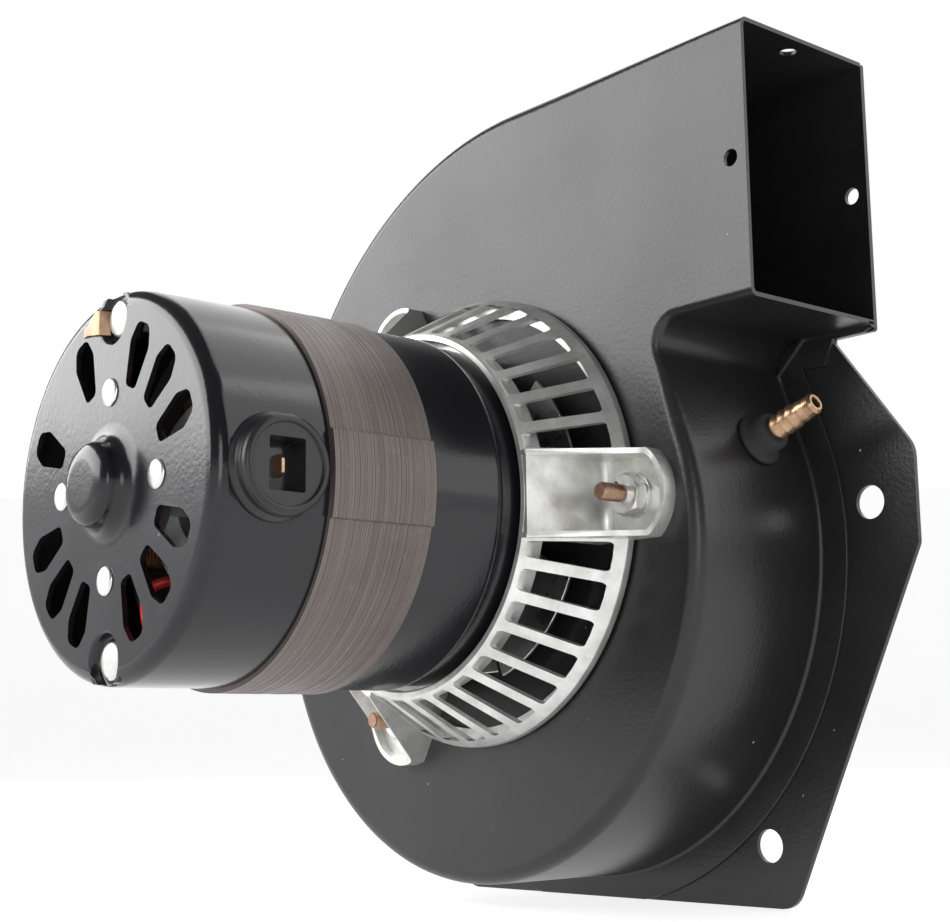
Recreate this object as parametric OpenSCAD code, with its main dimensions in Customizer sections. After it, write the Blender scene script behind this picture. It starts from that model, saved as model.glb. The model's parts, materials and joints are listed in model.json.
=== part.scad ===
// Draft inducer blower: a drawn sheet-steel scroll on a mounting plate, driven
// through a slotted mounting ring by a round shaded-pole motor.
// X is to the outlet, Z is up, and the motor stands out along -Y from the plate.
// Modules are drawn with x, y across the shaft and z forward from the plate's
// back face, and forward() turns them into place.

/* [Scroll housing] */
// Depth from the back of the mounting plate to the front of the scroll
housing_d = 44.5; // [40:0.5:60]
// Sheet thickness of the scroll
sheet_t = 1; // [0.8:0.1:1.4]
// Radius of the scroll's rounded front edge
edge_r = 3.5; // [2:0.5:5]
// How much larger than the wheel the scroll's side arc is
side_gap = 2.1; // [1:0.1:6]
// How much larger than the wheel the scroll's lower arc is
low_gap = 15.8; // [14:0.1:24]
// How much larger than the wheel the scroll's upper arc is
high_gap = 38.5; // [34:0.1:50]
// Height of the outlet duct, outside
outlet_h = 64.2; // [50:0.1:75]
// Length of the outlet duct past the cut-off
outlet_len = 22.7; // [15:0.1:60]
// Radius of the cut-off corner
cutoff_r = 6; // [4:0.5:8]
// Width of the scroll's seam flange
flange_w = 7.5; // [5:0.1:9]
// Radius of the three screw holes round the outlet
collar_hole_r = 2; // [1.5:0.1:3]
// Radius of the hole that the shaft passes through
shaft_hole_r = 8; // [6:0.5:12]

/* [Mounting plate] */
// Thickness of the mounting plate
plate_t = 1.2; // [1:0.1:3]
// Radius of the inlet hole
inlet_r = 47.5; // [35:0.5:50]
// Radius of the four mounting holes
mount_hole_r = 3.9; // [2.5:0.1:5]

/* [Wheel] */
// Outer radius of the centrifugal wheel
wheel_r = 63.5; // [52:0.5:80]
// Radial depth of the wheel's blades
blade_depth = 11; // [8:0.5:14]
// Gap between the wheel's rim and the mounting plate
wheel_back_gap = 5; // [3:0.5:10]
// Gap between the wheel's back plate and the scroll's front wall
wheel_front_gap = 4.3; // [3.5:0.1:10]
// Number of blades
blade_count = 36; // [24:1:48]

/* [Motor] */
// Radius of the motor's end bells
motor_r = 42; // [38:0.5:52]
// Height of the stator stack
stack_h = 26.4; // [20:0.1:40]
// How far the stator stands proud of the end bells
stack_proud = 1; // [0.5:0.1:1.5]
// Depth of the front end bell
front_bell_h = 27.2; // [24:0.1:40]
// Depth of the rear end bell's wide part
rear_bell_h = 22.2; // [20:0.1:30]
// Sheet thickness of the end bells
bell_t = 1.2; // [1:0.1:1.6]
// Radius of the end bells' shoulders
shoulder_r = 3.5; // [2:0.5:4.5]
// Radius of the rotor core
rotor_r = 23; // [18:0.5:25]
// Radius of the shaft
shaft_r = 3.97; // [3:0.01:5]
// Air gap between the stator and the rotor
air_gap = 0.35; // [0.3:0.05:0.6]
// Radius of the circle of the motor's through bolts
bolt_circle_r = 36.6; // [36:0.1:37]
// Radius of a through bolt
bolt_r = 2.05; // [1.5:0.05:2.2]

/* [Mounting ring] */
// Axial height of the mounting ring above the scroll
ring_h = 24.1; // [20:0.1:32]
// How much wider the ring's base is than its front rim
ring_flare = 11.4; // [8:0.1:16]
// Sheet thickness of the mounting ring
ring_t = 1.2; // [1:0.1:1.6]
// Width of a slat between two slots
slat_w = 2.6; // [2:0.1:3.5]
// Outer width of a leg
leg_w = 19.8; // [17:0.1:22]
// Radius of a stud
stud_r = 2.08; // [1.5:0.01:2.5]
// Length of a stud above the scroll's front face
stud_l = 12.6; // [10:0.1:16]

/* [Fittings] */
// Outer radius of the hose barb's ridges
barb_r = 3; // [2.5:0.1:4]
// Outer radius of the power receptacle
socket_r = 10.2; // [9.5:0.1:11]
// Radius of the cooling fan
fan_r = 41; // [34:0.5:46]

/* [Hidden] */
$fn = 64;
fit = 0.03;                                   // radial clearance of a close fit
eps = 0.01;

// Scroll: three arcs that run into each other, then the outlet duct
lap_turn = 1.5;                               // how far an arc of wall laps over the next
lap_l = 1.2;                                  // and a straight one
lap_step = 0.05;                              // how proud it stands there
lap_edge = 0.3;                               // how much tighter its front edge is there
wall_w = 12;                                  // width of the walls' solid inner margin
side_r = wheel_r + side_gap;
low_r = wheel_r + low_gap;
high_r = wheel_r + high_gap;
low_c = [-6.1, -9];
side_c = low_c + [low_r - side_r, 0];
high_from = 208.5;                            // direction where the lower arc meets the upper
high_c = low_c + (low_r - high_r) * unit(high_from);
cut_dir = 20;                                 // direction square to the straight below the cut-off
scroll_top = high_c.y + high_r;
outlet_low = scroll_top - outlet_h;
cut_c = [side_c.x + (side_r + cutoff_r - (outlet_low - cutoff_r - side_c.y) * sin(cut_dir))
    / cos(cut_dir), outlet_low - cutoff_r];
outlet_x = cut_c.x + outlet_len;
flange_end = high_c.x + 26;                   // where the top seam flange stops
barb_at = side_c + side_r * unit(cut_dir);
barb_z = 0.42 * housing_d;
collar_inset = 4.4;                           // outlet screw holes, in from the duct's mouth

// Mounting plate
plate_right = side_c.x + side_r + 26.6;
plate_left = high_c.x - high_r - 13;
plate_top = scroll_top + flange_w + 1;
plate_low = low_c.y - low_r - 5.2;
notch_x = outlet_x - 11.7;
notch_drop = 1.5;                             // plate edge below the duct's lower wall
mount_holes = [[plate_right - 12.6, -1.5], [low_c.x + low_r - 20, plate_low + 14.2],
    [plate_left + 21, low_c.y - 0.72 * low_r], [plate_left + 21, plate_top - 24]];
plate_outline = [[low_c.x - low_r + 31.4, plate_low, 8], [low_c.x + low_r - 13, plate_low, 6],
    [plate_right, low_c.y - 3, 3], [plate_right, side_c.y + 19, 7],
    [notch_x, outlet_low - notch_drop - 1, 0], [notch_x, outlet_low - notch_drop, 0],
    [outlet_x, outlet_low - notch_drop, 0.8], [outlet_x, scroll_top, 0.8],
    [flange_end, scroll_top, 0], [flange_end, plate_top, 3], [plate_left + 39, plate_top, 8],
    [plate_left + 6, plate_top - 18, 6], [plate_left, 30, 8], [plate_left, -30, 8],
    [plate_left + 11, low_c.y - 67, 8]];

// Axial stations, all forward of the plate's back face
ring_base = housing_d;
ring_top = ring_base + ring_h;
cup_d = 6.6;                                  // depth of the ring's cup below its rim
cup_floor = ring_top - cup_d + ring_t;
pilot_h = 9.26;                               // rear bell's narrower pilot, standing in the cup
stack_0 = cup_floor + pilot_h - 0.86 + rear_bell_h;
stack_1 = stack_0 + stack_h;
face_d = stack_1 + front_bell_h;              // front bell's flat face
wheel_0 = plate_t + wheel_back_gap;
wheel_1 = housing_d - sheet_t - wheel_front_gap;

// Mounting ring
rim_in = motor_r + 0.1;
collar_out = rim_in + ring_t;
rim_out = collar_out + 0.7;
base_r = rim_out + ring_flare;
skirt_h = 2.5;
skirt_gap = 0.4;                              // skirt clear of the scroll, so only the feet bear
slot_pitch = 10;
first_slat = 20;
slat_count = 9;
stud_circle = base_r + 0.2;
leg_in = leg_w - 2 * ring_t - 0.2;
foot_end_r = leg_w / 2 + 2.6;
foot_c = stud_circle - 1.2;
wall_h = 3.7;                                 // height of the rim round a foot
washer_t = 0.8;
nut_h = 3.2;
nut_af = 8.73;

// Motor
bell_in = motor_r - bell_t;
stator_r = motor_r + stack_proud;
bore_r = rotor_r + air_gap;
shoe_t = 2.7;
yoke_in = 36;
pole_w = 15;
hub_h = 6.5;                                  // bearing hub's height over the end face
hub_r = 9.2;
bearing_r = 7.97;
bearing_l = 11.3;
rivet_circle = 20.1;
rivet_r = 1.6;
rivet_head_r = 3.1;
head_r = 4.1;
head_h = 2.2;
pocket_d = 2.9;
pocket_r = 5.6;
pilot_r = motor_r - 1.2;
vent_step = 22.5;
vent_gap = 6;                                 // the one place in the front vents left solid
vents = [1, 2, 3, 5, 6, 7, 9, 10, 11, 13, 14, 15];
pad_from = -12;
pad_to = 12;
socket_z = face_d - 14.1;
socket_face = motor_r + 4.6;
socket_w = 8.5;
socket_h = 10.8;
fan_z = ring_base + 4;
coil_w = 4.8;                                 // winding thickness round a pole
coil_top = stack_1 + 0.6 + coil_w;
lead_r = 1.1;
lead_v = 3;                                   // leads leave the receptacle this far off centre
lead_turn = 100;
lead_reach = 30;                              // how far across the coils a lead ends
shade_w = 1.4;                                // section of a shading ring
shade_at = 8;                                 // inner bar's place across the pole shoe

function unit(a) = [cos(a), sin(a)];
function arc(c, r, a0, a1, n = 8) = [for (i = [0:n]) c + r * unit(a0 + (a1 - a0) * i / n)];
// Corners of a closed outline, each rounded to its own radius: [x, y, r]
function rounded(p, n = 6) = [for (i = [0:len(p) - 1])
    let(a = xy(p[(i + len(p) - 1) % len(p)]), b = xy(p[i]), c = xy(p[(i + 1) % len(p)]), r = p[i][2])
    each (r == 0 ? [b] : fillet(b, (a - b) / norm(a - b), (c - b) / norm(c - b), r, n))];
function xy(p) = [p[0], p[1]];
function fillet(b, u, v, r, n) =
    let(half = acos(u * v) / 2, o = b + (u + v) / norm(u + v) * r / sin(half),
        s = b + u * r / tan(half) - o, e = b + v * r / tan(half) - o,
        a0 = atan2(s.y, s.x), turn = atan2(s.x * e.y - s.y * e.x, s * e))
    arc(o, r, a0, a0 + turn, n);

// ---- Placing ----
module forward() { rotate([90, 0, 0]) children(); }
module outward(a, z) { rotate([0, 0, a]) translate([0, 0, z]) rotate([0, 90, 0]) children(); }
module spin(n, first = 0) { for (i = [0:n - 1]) rotate([0, 0, first + 360 / n * i]) children(); }
module tube(r1, r0, z0, z1) {
    translate([0, 0, z0]) difference() {
        cylinder(r = r1, h = z1 - z0);
        translate([0, 0, -1]) cylinder(r = r0, h = z1 - z0 + 2);
    }
}
module disc(r, z0, z1) { translate([0, 0, z0]) cylinder(r = r, h = z1 - z0); }
module slab(p, z0, z1) { translate([0, 0, z0]) linear_extrude(z1 - z0) polygon(p); }

// ---- Scroll ----
// Wall profile with a rounded front edge: x runs outward to r, y forward from z0 to z1
module edge_profile(x0, r, z0, z1, e) {
    translate([x0, z0]) square([r - e - x0, z1 - z0]);
    translate([x0, z0]) square([r - x0, z1 - z0 - e]);
    translate([r - e, z1 - e]) circle(e);
}
// Each stretch of wall laps over the next and stands a hair proud of it, so their
// surfaces never graze each other
module arc_wall(c, r, a0, a1, z0, z1, e) {
    translate([c.x, c.y, 0]) rotate_extrude(start = a0 - lap_turn, angle = a1 - a0 + 2 * lap_turn)
        edge_profile(r - wall_w, r, z0, z1, e);
}
// Straight wall from p, running l along direction a, with its outer side on the right
module flat_wall(p, a, l, z0, z1, e) {
    translate([p.x, p.y, 0]) rotate([0, 0, a]) rotate([90, 0, 90]) linear_extrude(l)
        mirror([1, 0]) edge_profile(-wall_w, 0, z0, z1, e);
}
// Everything inside the scroll's outline moved in by o, from z0 to a rounded front at z1
module scroll_body(o, z0, z1, e) {
    out = unit(cut_dir);
    straight = side_c + (side_r + lap_step - o) * out - lap_l * unit(90 + cut_dir);
    straight_l = norm(cut_c - cutoff_r * out - side_c - side_r * out) + 2 * lap_l;
    duct_l = outlet_x + o;
    corner = cutoff_r - 2 * lap_step + o;
    g = o + e + 2.5;
    tight = e - lap_edge;
    arc_wall(low_c, low_r + lap_step - o, high_from, 360, z0, z1, tight);
    arc_wall(side_c, side_r - o, 0, cut_dir, z0, z1, e);
    arc_wall(high_c, high_r - o, 90, high_from, z0, z1, e);
    flat_wall(straight, 90 + cut_dir, straight_l, z0, z1, tight);
    flat_wall([duct_l, scroll_top + lap_step - o], 180, duct_l - high_c.x + lap_l, z0, z1, tight);
    flat_wall([cut_c.x - lap_l, outlet_low + o], 0, duct_l - cut_c.x + lap_l, z0, z1, e);
    translate([cut_c.x, cut_c.y, 0])
        rotate_extrude(start = 90 - lap_turn, angle = 90 + cut_dir + 2 * lap_turn)
            translate([2 * corner, 0]) mirror([1, 0])
                edge_profile(corner - wall_w, corner, z0, z1, tight - lap_edge);
    slab(concat(arc(low_c, low_r - g, high_from, 360, 16), arc(side_c, side_r - g, 0, cut_dir, 3),
        arc(cut_c, cutoff_r + g, 180 + cut_dir, 90), [[duct_l, outlet_low + g],
        [duct_l, scroll_top - g]], arc(high_c, high_r - g, 90, high_from, 16)), z0, z1);
}
// Flat flange outside the scroll's outline; it reaches half way into the sheet
module flange_arc(c, r, a0, a1) {
    translate([c.x, c.y, plate_t])
        rotate_extrude(start = a0 - lap_turn, angle = a1 - a0 + 2 * lap_turn)
            translate([r - sheet_t / 2, 0]) square([flange_w + sheet_t / 2, sheet_t]);
}
// The flange is trimmed where it would pass the plate's edge
module seam_flange() {
    top = scroll_top + lap_step;
    out = unit(cut_dir);
    along = lap_l * unit(90 + cut_dir);
    foot = barb_at + lap_step * out - along;
    head = cut_c - (cutoff_r - lap_step) * out;
    intersection() {
        slab(rounded(plate_outline), plate_t, plate_t + sheet_t);
        union() {
            flange_arc(low_c, low_r + lap_step, high_from, 360);
            flange_arc(side_c, side_r, 0, cut_dir);
            flange_arc(high_c, high_r, 90, high_from);
            slab([[high_c.x - lap_l, top - sheet_t / 2], [high_c.x - lap_l, top + flange_w],
                [flange_end, top + flange_w], [flange_end, top - sheet_t / 2]],
                plate_t, plate_t + sheet_t);
            slab([foot - sheet_t / 2 * out, foot + flange_w * out, head + flange_w * out,
                head - sheet_t / 2 * out], plate_t, plate_t + sheet_t);
        }
    }
}
module scroll_housing() {
    color([0.11, 0.11, 0.12]) forward() difference() {
        union() {
            scroll_body(0, plate_t, housing_d, edge_r);
            seam_flange();
        }
        scroll_body(sheet_t, plate_t - 1, housing_d - sheet_t, edge_r - sheet_t);
        disc(shaft_hole_r, housing_d - 2 * sheet_t, housing_d + 1);
        spin(3) translate([stud_circle, 0, 0])
            disc(stud_r + 0.1, housing_d - 2 * sheet_t, housing_d + 1);
        translate([barb_at.x, barb_at.y, 0]) outward(cut_dir, barb_z) disc(4.05, -5, 5);
        translate([outlet_x - collar_inset, scroll_top - outlet_h / 2, 0])
            disc(collar_hole_r, housing_d - 2 * sheet_t, housing_d + 1);
        translate([outlet_x - collar_inset - 1, scroll_top + 1, housing_d * 0.48])
            rotate([90, 0, 0]) cylinder(r = collar_hole_r, h = 2 + sheet_t);
    }
}
module mounting_plate() {
    color([0.1, 0.1, 0.11]) forward() difference() {
        slab(rounded(plate_outline), 0, plate_t);
        disc(inlet_r, -1, plate_t + 1);
        for (p = mount_holes) translate([p.x, p.y, 0]) disc(mount_hole_r, -1, plate_t + 1);
        translate([outlet_x - collar_inset, scroll_top - outlet_h / 2, 0])
            disc(collar_hole_r, -1, plate_t + 1);
    }
}

// ---- Hose barb ----
module at_barb() {
    forward() translate([barb_at.x, barb_at.y, 0]) outward(cut_dir, barb_z) children();
}
module hose_barb() {
    ridges = [for (i = [0:4]) each [[barb_r - 0.65, 6.6 + 2.4 * i], [barb_r, 6.6 + 2.4 * i],
        [barb_r, 7.2 + 2.4 * i], [barb_r - 0.65, 8.9 + 2.4 * i]]];
    color([0.8, 0.62, 0.45]) at_barb() rotate_extrude()
        polygon(concat([[1.3, -4], [2.4, -4]], [[2.4, 6]], ridges, [[1.3, 18.6]]));
}
module barb_grommet() {
    color([0.07, 0.07, 0.08]) at_barb() rotate_extrude() polygon([[2.43, -3.5], [5.4, -3.5],
        [5.4, -sheet_t - 0.35], [3.95, -sheet_t - 0.35], [3.95, lap_step + 0.04],
        [6.2, lap_step + 0.04], [6.2, 1.4],
        [4.6, 2.2], [4.4, 5.9], [2.43, 5.9]]);
}

// ---- Mounting ring ----
module ring_slots() {
    r0 = rim_out + 0.4;
    r1 = base_r - 1.5;
    h = slat_w / 2;
    spin(3) for (i = [0:slat_count]) {
        a0 = i == 0 ? 0 : first_slat + slot_pitch * (i - 1);
        a1 = i == slat_count ? 120 : first_slat + slot_pitch * i;
        w0 = i == 0 ? leg_w / 2 + 0.6 : h;
        w1 = i == slat_count ? leg_w / 2 + 0.6 : h;
        slab(concat(arc([0, 0], r0, edge_dir(r0, a0, w0), edge_dir(r0, a1, -w1), 2),
            arc([0, 0], r1, edge_dir(r1, a1, -w1), edge_dir(r1, a0, w0), 2)),
            ring_base + skirt_h, ring_top + 1);
    }
}
// Direction, at radius r, of the line that runs along direction a and w to its left
function edge_dir(r, a, w) = a + asin(w / r);
module leg_plan(half, r) {
    intersection() {
        union() {
            translate([foot_c - 40, -half]) square([40, 2 * half]);
            translate([foot_c, 0]) circle(r);
        }
        translate([rim_in, -half]) square([60, 2 * half]);
    }
}
module leg() {
    foot_out = foot_c + sqrt(foot_end_r * foot_end_r - leg_w * leg_w / 4);
    side = [[rim_out - 1, ring_top], [rim_out, ring_top], [foot_out, ring_base + wall_h],
        [foot_c + foot_end_r + 1, ring_base + wall_h], [foot_c + foot_end_r + 1, ring_base],
        [rim_out - 1, ring_base]];
    floor_wall = [[rim_out - 0.9, ring_top], [rim_out + 0.3, ring_top],
        [rim_out + 3.3, ring_base], [rim_out + 2.1, ring_base]];
    intersection() {
        rotate([90, 0, 0]) translate([0, 0, -20]) linear_extrude(40) polygon(side);
        translate([0, 0, ring_base]) linear_extrude(ring_h) difference() {
            leg_plan(leg_w / 2, foot_end_r);
            leg_plan(leg_in / 2, foot_end_r - ring_t);
        }
    }
    rotate([90, 0, 0]) translate([0, 0, -leg_w / 2 + 0.3]) linear_extrude(leg_w - 0.6)
        polygon(floor_wall);
    translate([0, 0, ring_base]) linear_extrude(ring_t) intersection() {
        leg_plan(leg_w / 2, foot_end_r);
        translate([rim_out + 2.6, -20]) square([40, 40]);
    }
}
module mount_ring() {
    color([0.82, 0.82, 0.8]) forward() difference() {
        union() {
            difference() {
                rotate_extrude() polygon([[rim_in, ring_top], [rim_out, ring_top],
                    [base_r, ring_base + skirt_h], [base_r, ring_base + skirt_gap],
                    [base_r - 4.5, ring_base + skirt_gap],
                    [base_r - 4.5, ring_base + skirt_gap + ring_t],
                    [base_r - ring_t, ring_base + skirt_gap + ring_t],
                    [base_r - ring_t, ring_base + skirt_h - 0.3], [collar_out, ring_top - 0.6],
                    [collar_out, cup_floor - ring_t], [33, cup_floor - ring_t],
                    [33, cup_floor], [rim_in, cup_floor]]);
                ring_slots();
                spin(3) translate([rim_out + 0.2, -leg_in / 2 - 0.2, ring_base - 1])
                    cube([30, leg_in + 0.4, ring_h + 2]);
            }
            spin(3) leg();
        }
        spin(3) translate([stud_circle, 0, 0]) disc(stud_r + 0.25, ring_base - 1, ring_base + 3);
        spin(2, 90) translate([bolt_circle_r, 0, 0])
            disc(bolt_r + 0.2, cup_floor - 3, cup_floor + 1);
    }
}
module ring_studs() {
    color([0.72, 0.45, 0.3]) forward() spin(3) translate([stud_circle, 0, 0]) {
        disc(stud_r, ring_base - sheet_t, ring_base + stud_l);
        disc(4.3, ring_base - sheet_t - 1, ring_base - sheet_t);
    }
}
module ring_washers() {
    z = ring_base + ring_t;
    color([0.7, 0.7, 0.68]) forward() spin(3) translate([stud_circle, 0, 0])
        tube(5.2, stud_r + 0.15, z, z + washer_t);
}
module ring_nuts() {
    z = ring_base + ring_t + washer_t;
    color([0.86, 0.86, 0.84]) forward() spin(3) translate([stud_circle, 0, z]) difference() {
        cylinder(r = nut_af / 2 / cos(30), h = nut_h, $fn = 6);
        translate([0, 0, -1]) cylinder(r = stud_r + fit, h = nut_h + 2);
    }
}

// ---- Motor shell ----
// Slot of a bell's ventilation ring, pointing out along x from radius s
module vent(s, z0, z1) {
    slab(rounded([[s, -1.9, 0.6], [s + 9.6, -3.9, 1.2], [s + 13, -2.5, 1.2], [s + 14.3, 0, 1.4],
        [s + 13, 2.5, 1.2], [s + 9.6, 3.9, 1.2], [s, 1.9, 0.6]], 3), z0, z1);
}
module front_bell() {
    e = shoulder_r;
    o = face_d;
    t = bell_t;
    outer = concat([[motor_r, stack_1]], arc([motor_r - e, o - e], e, 0, 90),
        [[hub_r + 3.3, o], [hub_r + 1, o + 0.8], [hub_r, o + 2.2], [hub_r - 0.2, o + hub_h - 1.8]],
        arc([hub_r - 1.9, o + hub_h - 1.7], 1.7, 0, 90, 5), [[0, o + hub_h]]);
    inner = concat([[0, o + hub_h - t], [bearing_r + fit, o + hub_h - t],
        [bearing_r + fit, o + 1], [hub_r + 1.6, o - t]],
        arc([motor_r - e, o - e], e - t, 90, 0), [[bell_in, stack_1]]);
    color([0.09, 0.09, 0.1]) forward() difference() {
        union() {
            rotate_extrude() polygon(concat(outer, inner));
            spin(2, 90) intersection() {
                translate([bolt_circle_r, 0, 0]) disc(pocket_r + t, o - pocket_d - t, o);
                disc(motor_r - 0.4, 0, o - 0.5);
            }
        }
        spin(2, 90) translate([bolt_circle_r, 0, 0]) {
            disc(pocket_r, o - pocket_d, o + 1);
            disc(bolt_r + 0.15, 0, o);
        }
        spin(4) translate([rivet_circle, 0, 0]) disc(rivet_r, o - 3, o + 1);
        for (v = vents) if (v != vent_gap) rotate([0, 0, v * vent_step]) vent(21.5, o - 3, o + 1);
        outward(0, socket_z) disc(socket_r - 1.2, motor_r - 5, motor_r + 5);
    }
}
module rear_bell() {
    e = shoulder_r;
    t = bell_t;
    z = cup_floor;
    s = z + pilot_h - 0.86;
    b = 1.5;
    turn = acos((pilot_r - motor_r + e) / e);
    outer = concat([[motor_r, stack_0]], arc([motor_r - e, s + e], e, 0, -turn),
        arc([pilot_r - b, z + b], b, 0, -90, 5), [[hub_r + 3.3, z], [hub_r + 1, z - 0.8],
        [hub_r, z - 2.2], [hub_r, z - hub_h + 1.7]],
        arc([hub_r - 1.7, z - hub_h + 1.7], 1.7, 0, -90, 5), [[shaft_r + 1.2, z - hub_h]]);
    inner = [[shaft_r + 1.2, z - hub_h + t], [bearing_r + fit, z - hub_h + t],
        [bearing_r + fit, z - 1], [hub_r + 1.6, z + t], [pilot_r - b, z + t],
        [pilot_r - t, z + b], [pilot_r - t, s + 1.6], [bell_in, s + e], [bell_in, stack_0]];
    color([0.09, 0.09, 0.1]) forward() difference() {
        rotate_extrude() polygon(concat(outer, inner));
        spin(2, 90) translate([bolt_circle_r, 0, 0]) disc(bolt_r + 0.15, z - 1, z + b);
        spin(4) translate([rivet_circle, 0, 0]) disc(rivet_r, z - 1, z + 3);
        for (v = vents) rotate([0, 0, v * vent_step]) vent(15.5, z - 1, z + 3);
    }
}
module through_bolts() {
    seat = face_d - pocket_d;
    color([0.85, 0.85, 0.83]) forward() spin(2, 90) translate([bolt_circle_r, 0, 0]) {
        disc(bolt_r, cup_floor - ring_t - nut_h - 1, seat);
        disc(head_r, seat, seat + head_h - 0.6);
        translate([0, 0, seat + head_h - 0.6]) cylinder(r1 = head_r, r2 = head_r - 0.9, h = 0.6);
    }
}
module bolt_nuts() {
    color([0.8, 0.8, 0.78]) forward() spin(2, 90)
        translate([bolt_circle_r, 0, cup_floor - ring_t - nut_h]) difference() {
            cylinder(r = nut_af / 2 / cos(30), h = nut_h, $fn = 6);
            translate([0, 0, -1]) cylinder(r = bolt_r + fit, h = nut_h + 2);
        }
}
module ground_clip() {
    o = face_d;
    color([0.8, 0.62, 0.25]) forward() rotate([0, 0, 90]) intersection() {
        union() {
            translate([bolt_circle_r - 3, head_r + 0.2, o]) cube([6, 9, 0.8]);
            translate([bolt_circle_r - 1.5, head_r + 0.2, o - pocket_d]) cube([3, 0.8, pocket_d]);
        }
        disc(motor_r - shoulder_r + 0.6, o - 4, o + 2);
    }
}

// ---- Stator ----
module stator_plan() {
    difference() {
        circle(stator_r);
        circle(bore_r);
        difference() {
            circle(yoke_in);
            circle(bore_r + shoe_t);
            for (a = [0, 90]) rotate(a) square([2 * yoke_in, pole_w], center = true);
        }
        for (a = [45, 135]) rotate(a) square([2 * (bore_r + shoe_t + 1), 2.6], center = true);
        for (a = [90, 270]) rotate(a) translate([bolt_circle_r, 0]) circle(bolt_r + 0.25);
        for (a = [0:90:270]) rotate(a) shade_bars();
    }
}
module shade_bars() {
    for (v = [shade_at, shade_at + 4.5])
        translate([shade_u(v), v - shade_w / 2]) square([shade_w, shade_w]);
}
// Inner side of a shading bar that lies v across the pole, just inside the shoe
function shade_u(v) = sqrt((bore_r + shoe_t) * (bore_r + shoe_t) - v * v) - shade_w;
module stator_core() {
    color([0.5, 0.46, 0.43]) forward() {
        translate([0, 0, stack_0]) linear_extrude(stack_h) stator_plan();
        translate([0, 0, stack_0 + 0.5]) linear_extrude(stack_h - 1) intersection() {
            difference() {
                circle(stator_r + 0.8);
                circle(stator_r - 2);
            }
            polygon([[0, 0], 90 * unit(pad_from), 90 * unit(pad_to)]);
        }
    }
}
// Racetrack round a pole: u is out along the pole, v across it
module pole_loop(half_v, over, w, e, u0, u1) {
    spin(4) translate([u0, 0, 0]) rotate([90, 0, 90]) linear_extrude(u1 - u0) difference() {
        polygon(rounded([for (c = [[-1, 0], [1, 0], [1, 1], [-1, 1]])
            [c.x * (half_v + w), c.y == 0 ? stack_0 - over - w : stack_1 + over + w, w + e]]));
        polygon(rounded([for (c = [[-1, 0], [1, 0], [1, 1], [-1, 1]])
            [c.x * half_v, c.y == 0 ? stack_0 - over : stack_1 + over, e]]));
    }
}
module stator_coils() {
    color([0.72, 0.4, 0.18]) forward() pole_loop(pole_w / 2 + 0.7, 0.6, coil_w, 0.6, 27.4, 33);
}
module slot_liners() {
    color([0.9, 0.88, 0.8]) forward() pole_loop(pole_w / 2 + 0.05, 0.05, 0.5, 0, 27, 33.6);
}
module shading_rings() {
    a = shade_at;
    b = shade_at + 4.5;
    color([0.78, 0.45, 0.26]) forward() spin(4) {
        translate([0, 0, stack_0 - shade_w]) linear_extrude(stack_h + 2 * shade_w) shade_bars();
        for (z = [stack_0 - shade_w, stack_1]) slab([[shade_u(a), a - shade_w / 2],
            [shade_u(a) + shade_w, a - shade_w / 2], [shade_u(b) + shade_w, b + shade_w / 2],
            [shade_u(b), b + shade_w / 2]], z, z + shade_w);
    }
}

// ---- Bearings ----
// Turns a front-end piece, drawn forward from the bell's face, to the rear end
module rear_end() { translate([0, 0, cup_floor]) mirror([0, 0, 1]) children(); }
module bearing() {
    l = bearing_l;
    rotate_extrude() polygon([[shaft_r + fit, hub_h - bell_t - l], [bearing_r - 0.8, hub_h - bell_t - l],
        [bearing_r, hub_h - bell_t - l + 0.8], [bearing_r, hub_h - bell_t],
        [shaft_r + fit, hub_h - bell_t]]);
}
module retainer() {
    z = -bell_t;
    difference() {
        union() {
            tube(14.5, 13.2, z - 5.6, z);
            tube(14.5, shaft_r + 1.4, z - 6.4, z - 5.6);
            tube(17, 13.2, z - 0.8, z);
            spin(4) translate([rivet_circle, 0, 0]) disc(3.6, z - 0.8, z);
            spin(4) translate([13.6, -2.4, z - 0.8]) cube([rivet_circle - 13.6, 4.8, 0.8]);
        }
        spin(4) translate([rivet_circle, 0, 0]) disc(rivet_r, z - 2, z + 1);
    }
}
module felt() { tube(13.1, bearing_r + 0.05, -bell_t - 5.6, -bell_t - 0.3); }
module rivet() {
    disc(rivet_r, -bell_t - 0.8, 0);
    translate([0, 0, 0]) cylinder(r1 = rivet_head_r, r2 = rivet_head_r - 0.3, h = 0.7);
    translate([0, 0, 0.7]) cylinder(r1 = rivet_head_r - 0.3, r2 = 1.7, h = 0.6);
    translate([0, 0, -bell_t - 1.6]) cylinder(r1 = 2, r2 = 2.5, h = 0.8);
}
module front_bearing() {
    color([0.62, 0.5, 0.34]) forward() translate([0, 0, face_d]) bearing();
}
module rear_bearing() { color([0.62, 0.5, 0.34]) forward() rear_end() bearing(); }
module front_retainer() {
    color([0.75, 0.75, 0.72]) forward() translate([0, 0, face_d]) retainer();
}
module rear_retainer() { color([0.75, 0.75, 0.72]) forward() rear_end() retainer(); }
module front_felt() { color([0.85, 0.83, 0.76]) forward() translate([0, 0, face_d]) felt(); }
module rear_felt() { color([0.85, 0.83, 0.76]) forward() rear_end() felt(); }
module retainer_rivets() {
    color([0.9, 0.9, 0.9]) forward() spin(4) translate([rivet_circle, 0, face_d]) rivet();
}
module rear_rivets() {
    color([0.9, 0.9, 0.9]) forward() spin(4) translate([rivet_circle, 0, 0]) rear_end() rivet();
}

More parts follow.
